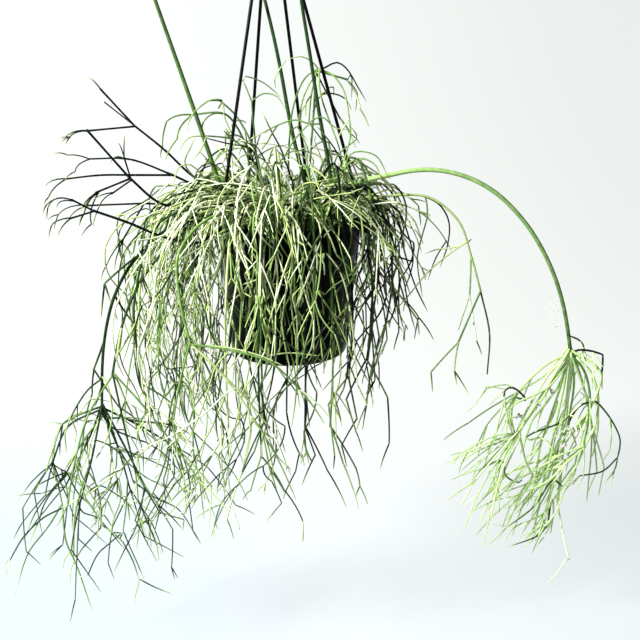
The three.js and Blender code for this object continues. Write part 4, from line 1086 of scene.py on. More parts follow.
FRONT_SPRAY = rows("""
1.31,1.15,0.85,0 -67,-94,183 -69,-96,157 -67,-99,124 -65,-102,85 -60,-104,68
1.15,0.98,0.85,1 -60,-104,68 -56,-106,45 -58,-108,22 -61,-110,-7
1.23,1.07,0.85,0 -58,-97,168 -54,-100,135 -49,-103,108 -47,-104,99
1.31,1.15,0.85,0 -49,-96,172 -43,-99,155 -31,-103,136 -20,-107,114 -14,-108,110
1.31,1.15,0.85,0 -30,-97,182 -17,-100,163 -10,-103,147 -11,-106,125 -14,-108,112
1.15,0.98,0.57,0 -14,-108,110 -6,-110,88 -5,-112,73
1.31,1.23,0.85,0 -12,-60,253 -10,-71,230 -8,-84,204 -8,-96,179
1.23,1.15,0.85,0 -8,-96,179 -10,-100,152 -6,-102,133 5,-106,108 12,-110,75
1.15,0.82,0.85,1 12,-110,75 13,-112,52 13,-114,24 11,-116,1
1.07,0.74,0.81,1 12,-110,75 0,-107,51 -11,-104,26
1.31,1.15,0.85,0 4,-96,187 16,-101,169 27,-104,153 41,-109,137 43,-112,121
1.31,1.15,0.71,0 64,-70,205 50,-81,192 41,-96,171 33,-106,156
1.23,1.07,0.66,0 33,-106,156 19,-110,129 11,-113,105 5,-116,83
1.31,1.15,0.85,0 33,-106,156 35,-108,131 32,-110,98 31,-112,61 31,-114,34
1.31,1.15,0.66,0 67,-70,205 80,-76,192 85,-83,168 85,-91,144 79,-98,123 68,-104,106
1.31,1.15,0.85,0 43,-104,145 59,-108,126 67,-111,104 70,-114,88
1.15,0.82,0.85,1 70,-114,88 75,-117,54 77,-119,29 80,-122,-3
1.07,0.74,0.57,1 70,-114,88 56,-111,70 41,-106,42
1.15,1.07,0.76,0 43,-104,145 34,-107,129 26,-111,110 16,-116,86
1.23,1.07,0.47,0 -60,-96,182 -66,-99,169 -78,-105,148 -89,-110,126
1.07,0.74,0.85,1 -47,-106,100 -57,-109,93 -67,-112,83
1.07,0.82,0.76,1 -47,-106,100 -31,-110,90 -21,-114,74 -17,-118,57
1.07,0.82,0.85,1 -14,-108,110 -28,-111,115 -36,-113,115 -47,-116,103
1.07,0.74,0.85,1 -14,-108,110 -3,-110,110 4,-112,108
1.07,0.82,0.57,1 -6,-112,89 -20,-114,76 -31,-116,51 -34,-118,25
1.15,0.98,0.57,0 82,-100,135 71,-104,119 54,-109,109 43,-112,99
1.15,0.9,0.66,0 35,-112,104 49,-114,82 63,-117,57 75,-120,26
1.07,0.82,0.57,1 35,-112,104 27,-117,83 19,-122,59
1.07,0.9,0.81,1 -101,-146,51 -65,-147,50 -30,-149,42 0,-150,29
1.07,0.82,0.76,1 -20,-120,31 5,-122,35 38,-124,32
1.23,0.9,0.85,0 -83,-110,143 -84,-115,99 -84,-119,61 -83,-124,16
1.15,0.98,0.38,0 -38,-96,179 -36,-99,157 -28,-102,136 -28,-105,114 -37,-108,92
1.23,1.07,0.57,0 -19,-96,182 0,-100,158 16,-104,136 22,-106,114 27,-110,87
1.23,1.07,0.85,0 22,-96,196 38,-100,180 49,-104,161 56,-108,143
1.15,0.9,0.47,1 56,-108,143 71,-111,127 80,-114,102 85,-116,83
1.07,0.82,0.71,1 22,-108,120 32,-112,87 38,-115,54 41,-118,25
1.07,0.82,0.47,1 -31,-110,138 -31,-114,99 -27,-117,66 -29,-120,32
1.07,0.82,0.81,1 -5,-114,73 -1,-118,43 5,-122,15 9,-124,-2
1.15,0.9,0.76,0 -79,-100,174 -82,-106,148 -75,-111,121 -66,-116,100
0.98,0.74,0.57,1 -66,-116,100 -61,-117,72 -51,-119,49 -40,-120,26
1.4,1.2,0.85,0 -102,-148,53 -88,-149,42 -75,-150,28 -49,-151,-7 -37,-151,-28
1.2,0.8,0.6,1 -37,-151,-28 -26,-151,-47 -7,-150,-85 11,-149,-131
1,0.7,0.75,1 -37,-151,-28 -39,-150,-53 -46,-149,-84
1.1,0.8,0.7,1 -75,-150,28 -85,-146,-2 -100,-140,-42 -120,-136,-82
""")
RIGHT_SPRAY = rows("""
1.2,0.8,0.75,1 211,-44,146 188,-48,131 163,-52,110 140,-56,82 126,-58,66
1.1,0.8,0.8,1 211,-44,146 194,-40,136 175,-36,133 160,-34,127
1.2,0.9,0,1 157,-34,195 176,-30,184 188,-26,163 188,-22,135 180,-20,107
1.1,0.8,0.35,1 159,-34,194 161,-40,173 154,-46,146 150,-50,121 157,-54,80
1.1,0.8,0.55,1 126,-30,187 152,-26,176 176,-22,154 194,-20,126
1.1,0.8,0.3,1 187,-22,141 174,-26,120 165,-30,94
1.3,1,-0.2,1 111,-40,191 128,-44,178 139,-50,152 145,-52,122 135,-54,86
1.3,1,-0.2,1 110,-20,183 130,-14,161 138,-10,126 152,-6,83 169,-4,48
1.2,0.9,-0.1,1 101,-50,186 117,-56,164 121,-60,130 111,-62,98 121,-64,65
1.2,0.9,0,1 108,-10,186 123,0,168 129,6,130 121,10,89 102,12,58
1.2,0.9,-0.2,1 103,-60,183 110,-66,150 104,-70,114 113,-72,77 135,-74,42
1.2,0.9,0.1,1 118,-50,128 133,-54,105 140,-58,73 149,-60,42
""")

# The pieces of the drawn stems: their rows, their colour, and how much paler than drawn
DRAWN = dict(
    drawn_tuft=(TUFT, "mint", 0),
    drawn_left=(LEFT_SPRAY, "green", 0.12),
    drawn_front=(FRONT_SPRAY, "pale", 0),
    drawn_crown=(CROWN_SPRAY, "green", 0),
    drawn_right=(RIGHT_SPRAY, "dark", 0),
)
NEAR_CARRIER = 2
FAR_CARRIER = 30

# Fine twigs that spring from the drawn stems, no further than their reach from a middle place
CLUSTERS = (
    dict(name="cluster_left", colour="green", seed=1101, spray=LEFT_SPRAY, count=230,
         tone=(0, 1.05), kick=(18, 62), length=(13, 36), sweep=(0, 0, -0.4),
         middle=(-190, -80, -112), reach=100),
    dict(name="cluster_tuft", colour="mint", seed=1102, spray=TUFT, count=120,
         tone=(0.6, 1.0), kick=(10, 44), length=(10, 28), sweep=(-0.4, 0, -0.4),
         middle=(310, -30, -130), reach=140),
    dict(name="cluster_front", colour="green", seed=1103, spray=FRONT_SPRAY, count=22,
         tone=(-0.2, 1.0), kick=(20, 56), length=(14, 34), sweep=(0, -0.1, -0.5),
         middle=(0, -110, 60), reach=130),
    dict(name="cluster_crown", colour="green", seed=1104, spray=CROWN_SPRAY, count=26,
         tone=(0, 0.9), kick=(20, 56), length=(10, 26), sweep=(0, 0, -0.2),
         middle=(0, 0, 230), reach=100),
)
CLUSTER_THICK = (1.0, 0.7)
CLUSTER_STEPS = 2.6
CLUSTER_TAPER = 0.92
CLUSTER_AHEAD = 0.8

# How a drawn stem is led from the soil: over the rim, at the lead's own radii
LEAD_ROOT = 44
LEAD_RISE = 54
LEAD_BRIM = 84
LEAD_DEPTH = 8
LEAD_LONG = 70


def led_from_soil(start):
    """Places from the soil, over the rim if need be, to where a drawn stem begins."""
    x, y, z = start
    out, azimuth = math.hypot(x, y), math.degrees(math.atan2(y, x))
    low = SOIL_TOP - LEAD_DEPTH
    if out < wall_radius(POT_HEIGHT) - 6:
        return [(x * 0.55, y * 0.55, low), (x * 0.62, y * 0.62, mix(SOIL_TOP, z, 0.5))]
    crest = max(POT_HEIGHT + 20, z + 8)
    lead = [(LEAD_ROOT, low), (LEAD_RISE, mix(SOIL_TOP, crest, 0.75)), (LEAD_BRIM, crest)]
    if z < crest - LEAD_LONG:
        lead += [(mix(LEAD_BRIM, out, 0.7), crest - 10), (out, mix(crest, z, 0.45)),
                 (out + 2, mix(crest, z, 0.75))]
    return [around(azimuth, *place) for place in lead]


def carrying_places():
    """Places along the long shoots that drawn stems can spring from."""
    found = []
    for shoot in LONG_SHOOTS:
        for stem in (shoot["route"][1:], *(limb["route"] for limb in shoot.get("limbs", ()))):
            found.extend(evenly(smoothed(stem), RING_SPACING) if len(stem) > 1 else stem)
    return found


def drawn_lengths(spray, paler):
    """The drawn stems of a spray. Each springs from what is near its start, or from the soil."""
    carriers = carrying_places()
    lengths = []
    for (thick, thin, tone, is_tip), *places in spray:
        tone += paler
        start = places[0]
        nearest = min(carriers, key=lambda place: size(sub(place, start)))
        gap = size(sub(nearest, start))
        if gap > FAR_CARRIER:
            lead = [*led_from_soil(start), start]
            lengths.append(dict(points=lead, radii=(thick, thick), is_tip=False, tone=tone))
            carriers.extend(evenly(lead[2:], RING_SPACING))
        elif gap > NEAR_CARRIER:
            places = [nearest, *places]
        lengths.append(dict(points=places, radii=(thick * SLIM, thin * SLIM), is_tip=bool(is_tip),
                            tone=tone))
        carriers.extend(evenly(places[-2:], RING_SPACING))
    return lengths


def grow_cluster(cluster):
    """Fine twigs that spring from places along a drawn spray."""
    draw = draws_from(cluster["seed"])
    anchors = [(places[k], unit(sub(places[k], places[k - 1])))
               for _, *places in cluster["spray"] for k in range(1, len(places))]
    twigs = []
    for _ in range(cluster["count"]):
        at, along = anchors[int(draw() * len(anchors))]
        tone = mix(*cluster["tone"], draw())
        radius = mix(*CLUSTER_THICK, draw())
        for step in range(1 + int(draw() * CLUSTER_STEPS)):
            heading = unit(add(scaled(along, CLUSTER_AHEAD), cluster["sweep"]))
            towards = strayed(heading, cluster["kick"], draw)
            points = sagging(at, towards, mix(*cluster["length"], draw()), mix(*SAG, draw()))
            if size(sub(points[2], cluster["middle"])) > cluster["reach"]:
                break
            if not (is_clear_of_pot(points, radius) and is_inside_box(points)):
                break
            if step:
                twigs[-1]["is_tip"] = False
            twigs.append(dict(points=points, radius=radius, is_tip=True, tone=tone))
            at, along = points[2], unit(sub(points[2], points[1]))
            radius *= CLUSTER_TAPER
    return twigs


def filled_out(shoot, ends):
    """More twigs at a shoot's free ends, by draws of their own."""
    draw = draws_from(shoot["seed"] + MORE_SEED)
    grow = shoot.get("grow", {})
    twigs = []
    for end in ends:
        count = int(draw() * MORE_TWIGS)
        heading = unit(add(end["along"], scaled(unit(grow["sweep"]), SWEEP_SHARE)))
        for _ in range(count):
            angle = math.radians(grow["spread"] * mix(*SPREAD_RANGE, draw()))
            towards = leaning(heading, angle, FULL_TURN * draw())
            length = grow["length"] * mix(*MORE_LENGTH, draw())
            points = sagging(end["at"], towards, length, grow["droop"])
            if is_clear_of_pot(points, end["radius"]) and is_inside_box(points):
                end["twig"]["is_tip"] = False
                twigs.append(dict(points=points, radius=end["radius"] * FINER, is_tip=True))
    return twigs


def curve_through(points, steps):
    """Places along a smooth curve through points, at the given steps of each length."""
    last = len(points) - 1
    found = []
    for i in range(last):
        a = points[i - 1] if i else sub(scaled(points[0], 2), points[1])
        b, c = points[i], points[i + 1]
        d = points[i + 2] if i + 2 <= last else sub(scaled(points[last], 2), points[last - 1])
        for t in steps:
            place = []
            for p, q, r, s in zip(a, b, c, d):
                place.append(q + 0.5 * t * (r - p + t * (2 * p - 5 * q + 4 * r - s
                                                         + t * (3 * (q - r) + s - p))))
            found.append(tuple(place))
    return found + [points[last]]


class StemSkin:
    """Collects rings of corners along many stems and makes one smooth mesh of them.

    Each corner keeps how much of a joint it is, how young it is, and its stem's own tone.
    """

    def __init__(self):
        self.corners = []
        self.faces = []
        self.growth = []

    def ring_run(self, points, radii, marks, youth, tones, sides):
        last = len(points) - 1
        first = len(self.corners)
        along = [unit(sub(points[min(i + 1, last)], points[max(i - 1, 0)]))
                 for i in range(last + 1)]
        aside = (0, 1, 0) if abs(along[0][1]) < SIDEWAYS else (1, 0, 0)
        across = unit(cross(along[0], aside))
        turns = [(math.cos(FULL_TURN * k / sides), math.sin(FULL_TURN * k / sides))
                 for k in range(sides)]
        for i, (point, ahead, radius) in enumerate(zip(points, along, radii)):
            across = unit(sub(across, scaled(ahead, dot(across, ahead))))
            upward = cross(ahead, across)
            for c, s in turns:
                out = add(scaled(across, c * radius), scaled(upward, s * radius))
                self.corners.append(placed(add(point, out)))
                self.growth.extend((marks[i], youth[i], mix(*tones, i / last), 1.0))
        for i in range(last):
            low = first + i * sides
            for k in range(sides):
                n = (k + 1) % sides
                self.faces.append((low + k, low + n, low + sides + n, low + sides + k))
        self.faces.append(tuple(first + k for k in reversed(range(sides))))
        self.faces.append(tuple(first + last * sides + k for k in range(sides)))

    def stem(self, stem, tones):
        """A jointed stem: a length for each pair of joints, narrower where they meet."""
        points, radii, is_free = stem["points"], stem["radii"], stem["is_free"]
        is_thick = radii[0] > THICK_STEM
        waist = THICK_WAIST if is_thick else 1
        places = curve_through(points, [bead[0] for bead in BEADS])
        thick, marks = [], []
        for low, high in zip(radii, radii[1:]):
            for t, share, mark in BEADS:
                thick.append(mix(low, high, t) * (1 + (share - 1) * waist))
                marks.append(mark * waist)
        youth = [0] * len(thick)
        if is_free:
            thick[-4:] = [radii[-1] * share for share in FREE_ENDS]
            youth[-4:] = [0.5 + 0.1 * k for k in range(4)]
        thick.append(radii[-1] * (FREE_TIP if is_free else 0.95))
        marks.append(waist)
        youth.append(1 if is_free else 0)
        self.ring_run(places, thick, marks, youth, tones, THICK_SIDES if is_thick else STEM_SIDES)

    def twig(self, twig, tone):
        """A short length that bends evenly from where it springs to its end."""
        start, middle, end = twig["points"]
        beads = TIP_BEADS if twig["is_tip"] else TWIG_BEADS
        # The curve passes through the middle place at 0.3 of its run
        bend = sub(scaled(middle, 1 / 0.42),
                   add(scaled(start, 0.49 / 0.42), scaled(end, 0.09 / 0.42)))
        places = [add(add(scaled(start, (1 - t) ** 2), scaled(bend, 2 * t * (1 - t))),
                      scaled(end, t * t)) for t, _, _ in beads]
        thick = [twig["radius"] * share for _, share, _ in beads]
        marks = [mark for _, _, mark in beads]
        young = 1 if twig["is_tip"] else OLD_YOUTH
        youth = [young * max(t - YOUNG_FROM, 0) / (1 - YOUNG_FROM) for t, _, _ in beads]
        self.ring_run(places, thick, marks, youth, (tone, tone), TWIG_SIDES)

    def length(self, length):
        """A drawn length: a smooth curve through its places, narrower at both its ends."""
        places = evenly(curve_through(length["points"], (0, 0.25, 0.5, 0.75)), RING_SPACING)
        last = len(places) - 1
        thick, marks, youth = [], [], []
        for i in range(last + 1):
            t = i / last
            ahead = (1 - t) * last * RING_SPACING
            behind = t * last * RING_SPACING
            radius = mix(*length["radii"], t)
            joint = max(1 - behind / JOINT_RUN, 0)
            young = 0
            if length["is_tip"]:
                radius *= min(1, POINTED_END + ahead / POINTED_RUN)
                young = max(1 - ahead / YOUNG_RUN, 0)
            else:
                joint = max(joint, 1 - ahead / JOINT_RUN)
            thick.append(radius * (1 - JOINT_PINCH * joint))
            marks.append(joint)
            youth.append(young)
        self.ring_run(places, thick, marks, youth, (length["tone"], length["tone"]), TWIG_SIDES)

    def piece(self, name, finish_name, slot):
        mesh = bpy.data.meshes.new(name)
        mesh.from_pydata(self.corners, [], self.faces)
        mesh.shade_smooth()
        if finish_name.startswith("stem_"):
            layer = mesh.color_attributes.new("growth", "FLOAT_COLOR", "POINT")
            layer.data.foreach_set("color", self.growth)
        return coat(linked(name, mesh), finish_name)


def slimmer(lengths, share=SLIM):
    """The same stems or twigs, a little slimmer than their solids."""
    for length in lengths:
        if "radii" in length:
            length["radii"] = [radius * share for radius in length["radii"]]
        else:
            length["radius"] *= share
    return lengths


def skin_shoot(name, stems, twigs, colour, seed, main_tones=None, shade=0):
    """One piece of stems and twigs, in drawn tones, but for those given of its main stem."""
    draw = draws_from(seed + TONE_SEED)
    low, high = (tone - shade for tone in TONES[colour])
    skin = StemSkin()
    for i, stem in enumerate(stems):
        tone = mix(low, high, STEM_TONES * draw())
        skin.stem(stem, main_tones if main_tones and i == 0 else (tone, tone))
    for twig in twigs:
        skin.twig(twig, twig.get("tone", mix(low, high, draw())))
    return skin.piece(name, "stem_" + colour, "stem_" + colour)


# Finishes
class NodeBench:
    """Lays out the nodes of one material."""

    def __init__(self, name):
        self.material = bpy.data.materials.new("fine_" + name)
        self.material.use_nodes = True
        self.tree = self.material.node_tree
        self.shader = self.tree.nodes["Principled BSDF"]
        self.place = self.node("ShaderNodeTexCoord").outputs["Object"]

    def node(self, kind, **settings):
        made = self.tree.nodes.new(kind)
        for key, value in settings.items():
            setattr(made, key, value)
        return made

    def feed(self, source, target):
        if isinstance(source, bpy.types.NodeSocket):
            self.tree.links.new(source, target)
        else:
            target.default_value = source

    def noise(self, scale, detail=3, stretch=None):
        made = self.node("ShaderNodeTexNoise")
        made.inputs["Scale"].default_value = scale
        made.inputs["Detail"].default_value = detail
        place = self.place
        if stretch:
            mapping = self.node("ShaderNodeMapping")
            mapping.inputs["Scale"].default_value = stretch
            self.feed(place, mapping.inputs["Vector"])
            place = mapping.outputs["Vector"]
        self.feed(place, made.inputs["Vector"])
        return made.outputs["Fac"]

    def span(self, source, low, high, to_low=0.0, to_high=1.0):
        made = self.node("ShaderNodeMapRange")
        self.feed(source, made.inputs["Value"])
        for socket, value in zip(("From Min", "From Max", "To Min", "To Max"),
                                 (low, high, to_low, to_high)):
            made.inputs[socket].default_value = value
        return made.outputs["Result"]

    def uneven(self, scale, detail, low, high):
        """A noise between two values."""
        return self.span(self.noise(scale, detail), 0.3, 0.7, low, high)

    def parts(self, source, kind, socket):
        made = self.node(kind)
        self.feed(source, made.inputs[socket])
        return made.outputs

    def blend(self, share, first, second):
        made = self.node("ShaderNodeMix", data_type="RGBA")
        self.feed(share, made.inputs[0])
        for value, socket in ((first, made.inputs[6]), (second, made.inputs[7])):
            self.feed(value if isinstance(value, bpy.types.NodeSocket) else (*value, 1), socket)
        return made.outputs[2]

    def sums(self, operation, first, second):
        made = self.node("ShaderNodeMath", operation=operation)
        self.feed(first, made.inputs[0])
        self.feed(second, made.inputs[1])
        return made.outputs[0]

    def bump(self, height, strength, distance):
        made = self.node("ShaderNodeBump")
        made.inputs["Strength"].default_value = strength
        made.inputs["Distance"].default_value = distance
        self.feed(height, made.inputs["Height"])
        self.feed(made.outputs["Normal"], self.shader.inputs["Normal"])

    def glow(self, colour, strength):
        self.feed(colour, self.shader.inputs["Emission Color"])
        self.feed(strength, self.shader.inputs["Emission Strength"])

    def done(self, colour, roughness, gloss):
        self.shader.inputs["Specular IOR Level"].default_value = gloss
        self.feed(colour, self.shader.inputs["Base Color"])
        self.feed(roughness, self.shader.inputs["Roughness"])
        return self.material


def finish(name):
    """The finish of that name, made the first time that it is asked for."""
    return bpy.data.materials.get("fine_" + name) or FINISHES[name](name)


def stem_finish(name):
    """Waxy stem, from dark green to cream by its tone, with paler young tips and dull joints.

    Its undersides get painted shade: where they face down they turn to the darkest green.
    """
    colours = bpy.context.scene.cactus_colours
    bench = NodeBench(name)
    growth = bench.node("ShaderNodeAttribute", attribute_name="growth").outputs["Color"]
    joint, youth, tone = bench.parts(growth, "ShaderNodeSeparateColor", "Color")
    ramp = bench.node("ShaderNodeValToRGB")
    bench.feed(bench.sums("ADD", tone, bench.uneven(140, 4, -0.06, 0.06)), ramp.inputs["Fac"])
    is_mint = name == "stem_mint"
    if is_mint:
        stops = (colours.deep_green_and_painted_shade, colours.leaf, colours.mint, colours.pale_mint, colours.frost)
    else:
        stops = (colours.deep_green_and_painted_shade, colours.leaf, colours.fresh, colours.lime, colours.cream)
    elements = ramp.color_ramp.elements
    elements.remove(elements[1])
    elements[0].position = 0.05
    for place in (0.25, 0.5, 0.75, 1):
        elements.new(place)
    for stop, colour in zip(elements, stops):
        stop.color = (*colour, 1)
    # Painted shade: where a stem's surface faces down it turns to the darkest green, less on mint
    # stems
    facing = bench.node("ShaderNodeNewGeometry").outputs["Normal"]
    upward = bench.parts(facing, "ShaderNodeSeparateXYZ", "Vector")["Z"]
    under = bench.span(upward, 0.1, -0.8, 0, 0.25 if is_mint else 0.6)
    body = bench.blend(under, ramp.outputs["Color"], tuple(colours.deep_green_and_painted_shade))
    body = bench.blend(bench.sums("MULTIPLY", youth, 0.65), body, tuple(colours.tip))
    worn = bench.sums("MULTIPLY", joint, bench.span(tone, 0.1, 0.7, 0, 0.4))
    body = bench.blend(worn, body, tuple(colours.joint))
    bench.bump(bench.noise(900, 3), 0.25, 0.0003)
    return bench.done(body, bench.uneven(60, 2, 0.32, 0.5), 0.12)


# Finishes of two colours: the noise that mottles one with the other and where it turns, the
# colours and how bright the second is, the grain's noise and bump, and the roughness with its noise
MOTTLED = dict(
    # Black moulded plastic with a soft gloss, dusty and water-marked
    pot_plastic=dict(
        mottle=(34, 6, (1, 1, 0.25)), turn=(0.52, 0.72, 0, 0.5), colours=("pot", "dust", 1),
        grain=(1400, 2), bump=(0.12, 0.0002), rough=(90, 4, 0.24, 0.36), dusty=0.4, gloss=0.03),
    # The strands and the hook, a little glossier than the pot
    hanger_plastic=dict(
        mottle=(210, 5), turn=(0.56, 0.74, 0, 0.3), colours=("hanger", "dust", 1),
        grain=(1600, 2), bump=(0.1, 0.0002), rough=(120, 3, 0.26, 0.4), gloss=0.1),
    # Pale grey clips at the rim
    clip_plastic=dict(
        mottle=(240, 5), turn=(0.48, 0.72, 0, 0.5), colours=("clip", "clip", 0.4),
        grain=(1500, 2), bump=(0.1, 0.0002), rough=(120, 3, 0.35, 0.5), gloss=0.5),
    # Moist dark potting mix, and the chips of bark in it
    potting_mix=dict(
        mottle=(110, 8), turn=(0.35, 0.65), colours=("soil", "soil", 3),
        grain=(420, 8), bump=(0.8, 0.0012), rough=(300, 4, 0.8, 1), gloss=0.5),
    bark_chips=dict(
        mottle=(260, 6), turn=(0.35, 0.65), colours=("soil", "bark", 1),
        grain=(600, 6), bump=(0.6, 0.0008), rough=(200, 4, 0.7, 0.95), gloss=0.5),
    # Papery dried flowers and fine aerial roots
    dry_paper=dict(
        mottle=(420, 5), turn=(0.35, 0.65), colours=("dry", "dry", 0.72),
        grain=(900, 4), bump=(0.5, 0.0004), rough=(300, 3, 0.6, 0.85), gloss=0.5),
)


def mottled_finish(name):
    """One colour mottled with another, finely grained and unevenly rough."""
    look = MOTTLED[name]
    first, second, bright = look["colours"]
    colours = bpy.context.scene.cactus_colours
    bench = NodeBench(name)
    mottle = bench.span(bench.noise(*look["mottle"]), *look["turn"])
    body = bench.blend(mottle, tuple(getattr(colours, first)),
                       tuple(c * bright for c in getattr(colours, second)))
    bench.bump(bench.noise(*look["grain"]), *look["bump"])
    rough = bench.uneven(*look["rough"])
    if "dusty" in look:
        rough = bench.sums("ADD", rough, bench.sums("MULTIPLY", mottle, look["dusty"]))
    return bench.done(body, rough, look["gloss"])


def stage_finish(name):
    """Pale matte studio sweep that glows of itself, as painted light, a little brighter at its
    left.
    """
    settings = bpy.context.scene.cactus_stage
    bench = NodeBench(name)
    x, y, _ = bench.parts(bench.place, "ShaderNodeSeparateXYZ", "Vector")
    # Painted light: the sweep's glow is brighter at its left, dimmer near the camera, bluer near
    # left
    across = bench.span(x, -0.9, 1.1, settings.glow_left, settings.glow_right)
    near = bench.span(y, 0.9, -0.2)
    glow = bench.sums("MULTIPLY", across, bench.span(near, 0, 1, 1, settings.glow_near))
    glow = bench.sums("MULTIPLY", glow, bench.span(y, -1.4, -0.1, 0.3, 1))
    floor = tuple(settings.floor)
    body = bench.blend(bench.uneven(1.5, 2, 0, 0.15), floor, tuple(c * 0.97 for c in floor))
    body = bench.blend(near, body, tuple(settings.floor_near))
    corner = bench.sums("MULTIPLY", near, bench.span(x, 0.1, -0.5))
    bench.glow(bench.blend(corner, body, tuple(settings.floor_left)), glow)
    return bench.done(bench.blend(0.85, floor, (0, 0, 0)), bench.uneven(4, 2, 0.85, 0.95), 0)


def wall_finish(name):
    """Pale even wall that closes the stage in on every side."""
    settings = bpy.context.scene.cactus_stage
    bench = NodeBench(name)
    bench.glow(bench.blend(bench.uneven(0.4, 2, 0, 0.3), tuple(settings.floor),
                           tuple(settings.floor_near)), settings.glow_round)
    return bench.done((0, 0, 0, 1), 0.9, 0)


FINISHES = dict(
    **dict.fromkeys(("stem_mint", "stem_green", "stem_pale", "stem_dark"), stem_finish),
    **dict.fromkeys(MOTTLED, mottled_finish),
    studio_sweep=stage_finish,
    studio_wall=wall_finish,
)


# Modelling
BEVEL_ANGLE = 35
SMOOTH_ANGLE = 32


def deselect():
    if bpy.context.object and bpy.context.object.mode != "OBJECT":
        bpy.ops.object.mode_set(mode="OBJECT")
    bpy.ops.object.select_all(action="DESELECT")


def select_only(*pieces):
    deselect()
    for piece in pieces:
        piece.select_set(True)
    bpy.context.view_layer.objects.active = pieces[0]


def named(name):
    piece = bpy.context.active_object
    piece.name = name
    piece.data.name = name
    return piece


def linked(name, data):
    """A new object of some data, in the scene."""
    made = bpy.data.objects.new(name, data)
    bpy.context.scene.collection.objects.link(made)
    return made


def turned(name, profile, sides):
    """A turned solid: a disc raised ring by ring through (radius, height) in millimetres."""
    deselect()
    radius, height = profile[0]
    bpy.ops.mesh.primitive_circle_add(vertices=sides, radius=radius * MM, fill_type="NGON",
                                      location=placed((0, 0, height)))
    piece = named(name)
    bpy.ops.object.mode_set(mode="EDIT")
    bpy.ops.mesh.select_all(action="SELECT")
    for wide, high in profile[1:]:
        bpy.ops.mesh.extrude_region_move(
            TRANSFORM_OT_translate={"value": (0, 0, (high - height) * MM)})
        share = wide / radius
        bpy.ops.transform.resize(value=(share, share, 1), center_override=placed((0, 0, high)))
        radius, height = wide, high
    bpy.ops.mesh.select_all(action="SELECT")
    bpy.ops.mesh.normals_make_consistent(inside=False)
    bpy.ops.object.mode_set(mode="OBJECT")
    return piece


def settled(piece):
    """The piece's place goes into its mesh, and its object to the origin."""
    select_only(piece)
    bpy.ops.object.transform_apply(location=True, rotation=True, scale=True)
    return piece


def joined(name, pieces):
    select_only(*pieces)
    if len(pieces) > 1:
        bpy.ops.object.join()
    return settled(named(name))


def modified(piece, kind, **settings):
    """The piece with a modifier of that kind and those settings applied."""
    select_only(piece)
    bpy.ops.object.modifier_add(type=kind)
    modifier = piece.modifiers[-1]
    for key, value in settings.items():
        setattr(modifier, key, value)
    bpy.ops.object.modifier_apply(modifier=modifier.name)
    return piece


def combined(piece, tool, operation):
    """Adds another solid's shape to a piece, or cuts it away."""
    modified(piece, "BOOLEAN", operation=operation, solver="EXACT", object=tool)
    bpy.data.objects.remove(tool)
    return piece


def cut_away(piece, tools):
    return combined(piece, joined("cutter", tools), "DIFFERENCE")


def bevelled(piece, width, segments):
    return modified(piece, "BEVEL", width=width * MM, segments=segments, limit_method="ANGLE",
                    angle_limit=math.radians(BEVEL_ANGLE))


def smooth_by_angle(piece, angle=SMOOTH_ANGLE):
    select_only(piece)
    bpy.ops.object.shade_smooth_by_angle(angle=math.radians(angle))
    return piece


def post(point, radius, height, sides):
    deselect()
    bpy.ops.mesh.primitive_cylinder_add(vertices=sides, radius=radius * MM, depth=height * MM,
                                        location=placed(point))
    return bpy.context.active_object


def block(point, lengths, azimuth, tilt=0):
    """A block of three lengths, the first of them outwards at an azimuth."""
    deselect()
    bpy.ops.mesh.primitive_cube_add(size=1, location=placed(point))
    made = bpy.context.active_object
    made.scale = [length * MM for length in lengths]
    made.rotation_euler = (0, math.radians(tilt), math.radians(azimuth))
    return settled(made)


def bead(point, radius):
    deselect()
    bpy.ops.mesh.primitive_uv_sphere_add(segments=20, ring_count=12, radius=radius * MM,
                                         location=placed(point))
    return bpy.context.active_object


def wire(name, points, radius, resolution):
    """A round wire through points, as a curve made into a mesh."""
    curve = bpy.data.curves.new(name, "CURVE")
    curve.dimensions = "3D"
    curve.bevel_depth = radius * MM
    curve.bevel_resolution = resolution
    curve.use_fill_caps = True
    line = curve.splines.new("POLY")
    line.points.add(len(points) - 1)
    for knot, point in zip(line.points, points):
        knot.co = (*placed(point), 1)
    select_only(linked(name, curve))
    bpy.ops.object.convert(target="MESH")
    return bpy.context.active_object


def coat(piece, finish_name):
    piece.data.materials.clear()
    piece.data.materials.append(finish(finish_name))
    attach(piece, "root")
    return piece


# Pieces that are modelled one by one, in millimetres
STRAND_SMOOTH = 40
SOIL_SMOOTH = 60
TONGUE_LONG = 9
SOIL_EDGE = 3
SOIL_RINGS = 22
LUMP_SCALE = 0.007
CHIP_SEED = 71
CHIP_LENGTHS = (1.4, 4.2)
CHIP_WIDTHS = (0.4, 0.9)
CHIP_HEIGHTS = (0.25, 0.6)
COLLAR_ABOVE = 2.4
COLLAR_LONG = 3.5
CLIP_LENGTHS = (1.6, 8.5, 11)
CLIP_OUT = 0.9
CLIP_BELOW = 6.5
CLIP_TILT = 2
BOSS_RADIUS = 4.4
BOSS_HIGH = 3
LOOSE_TURN = 6.28


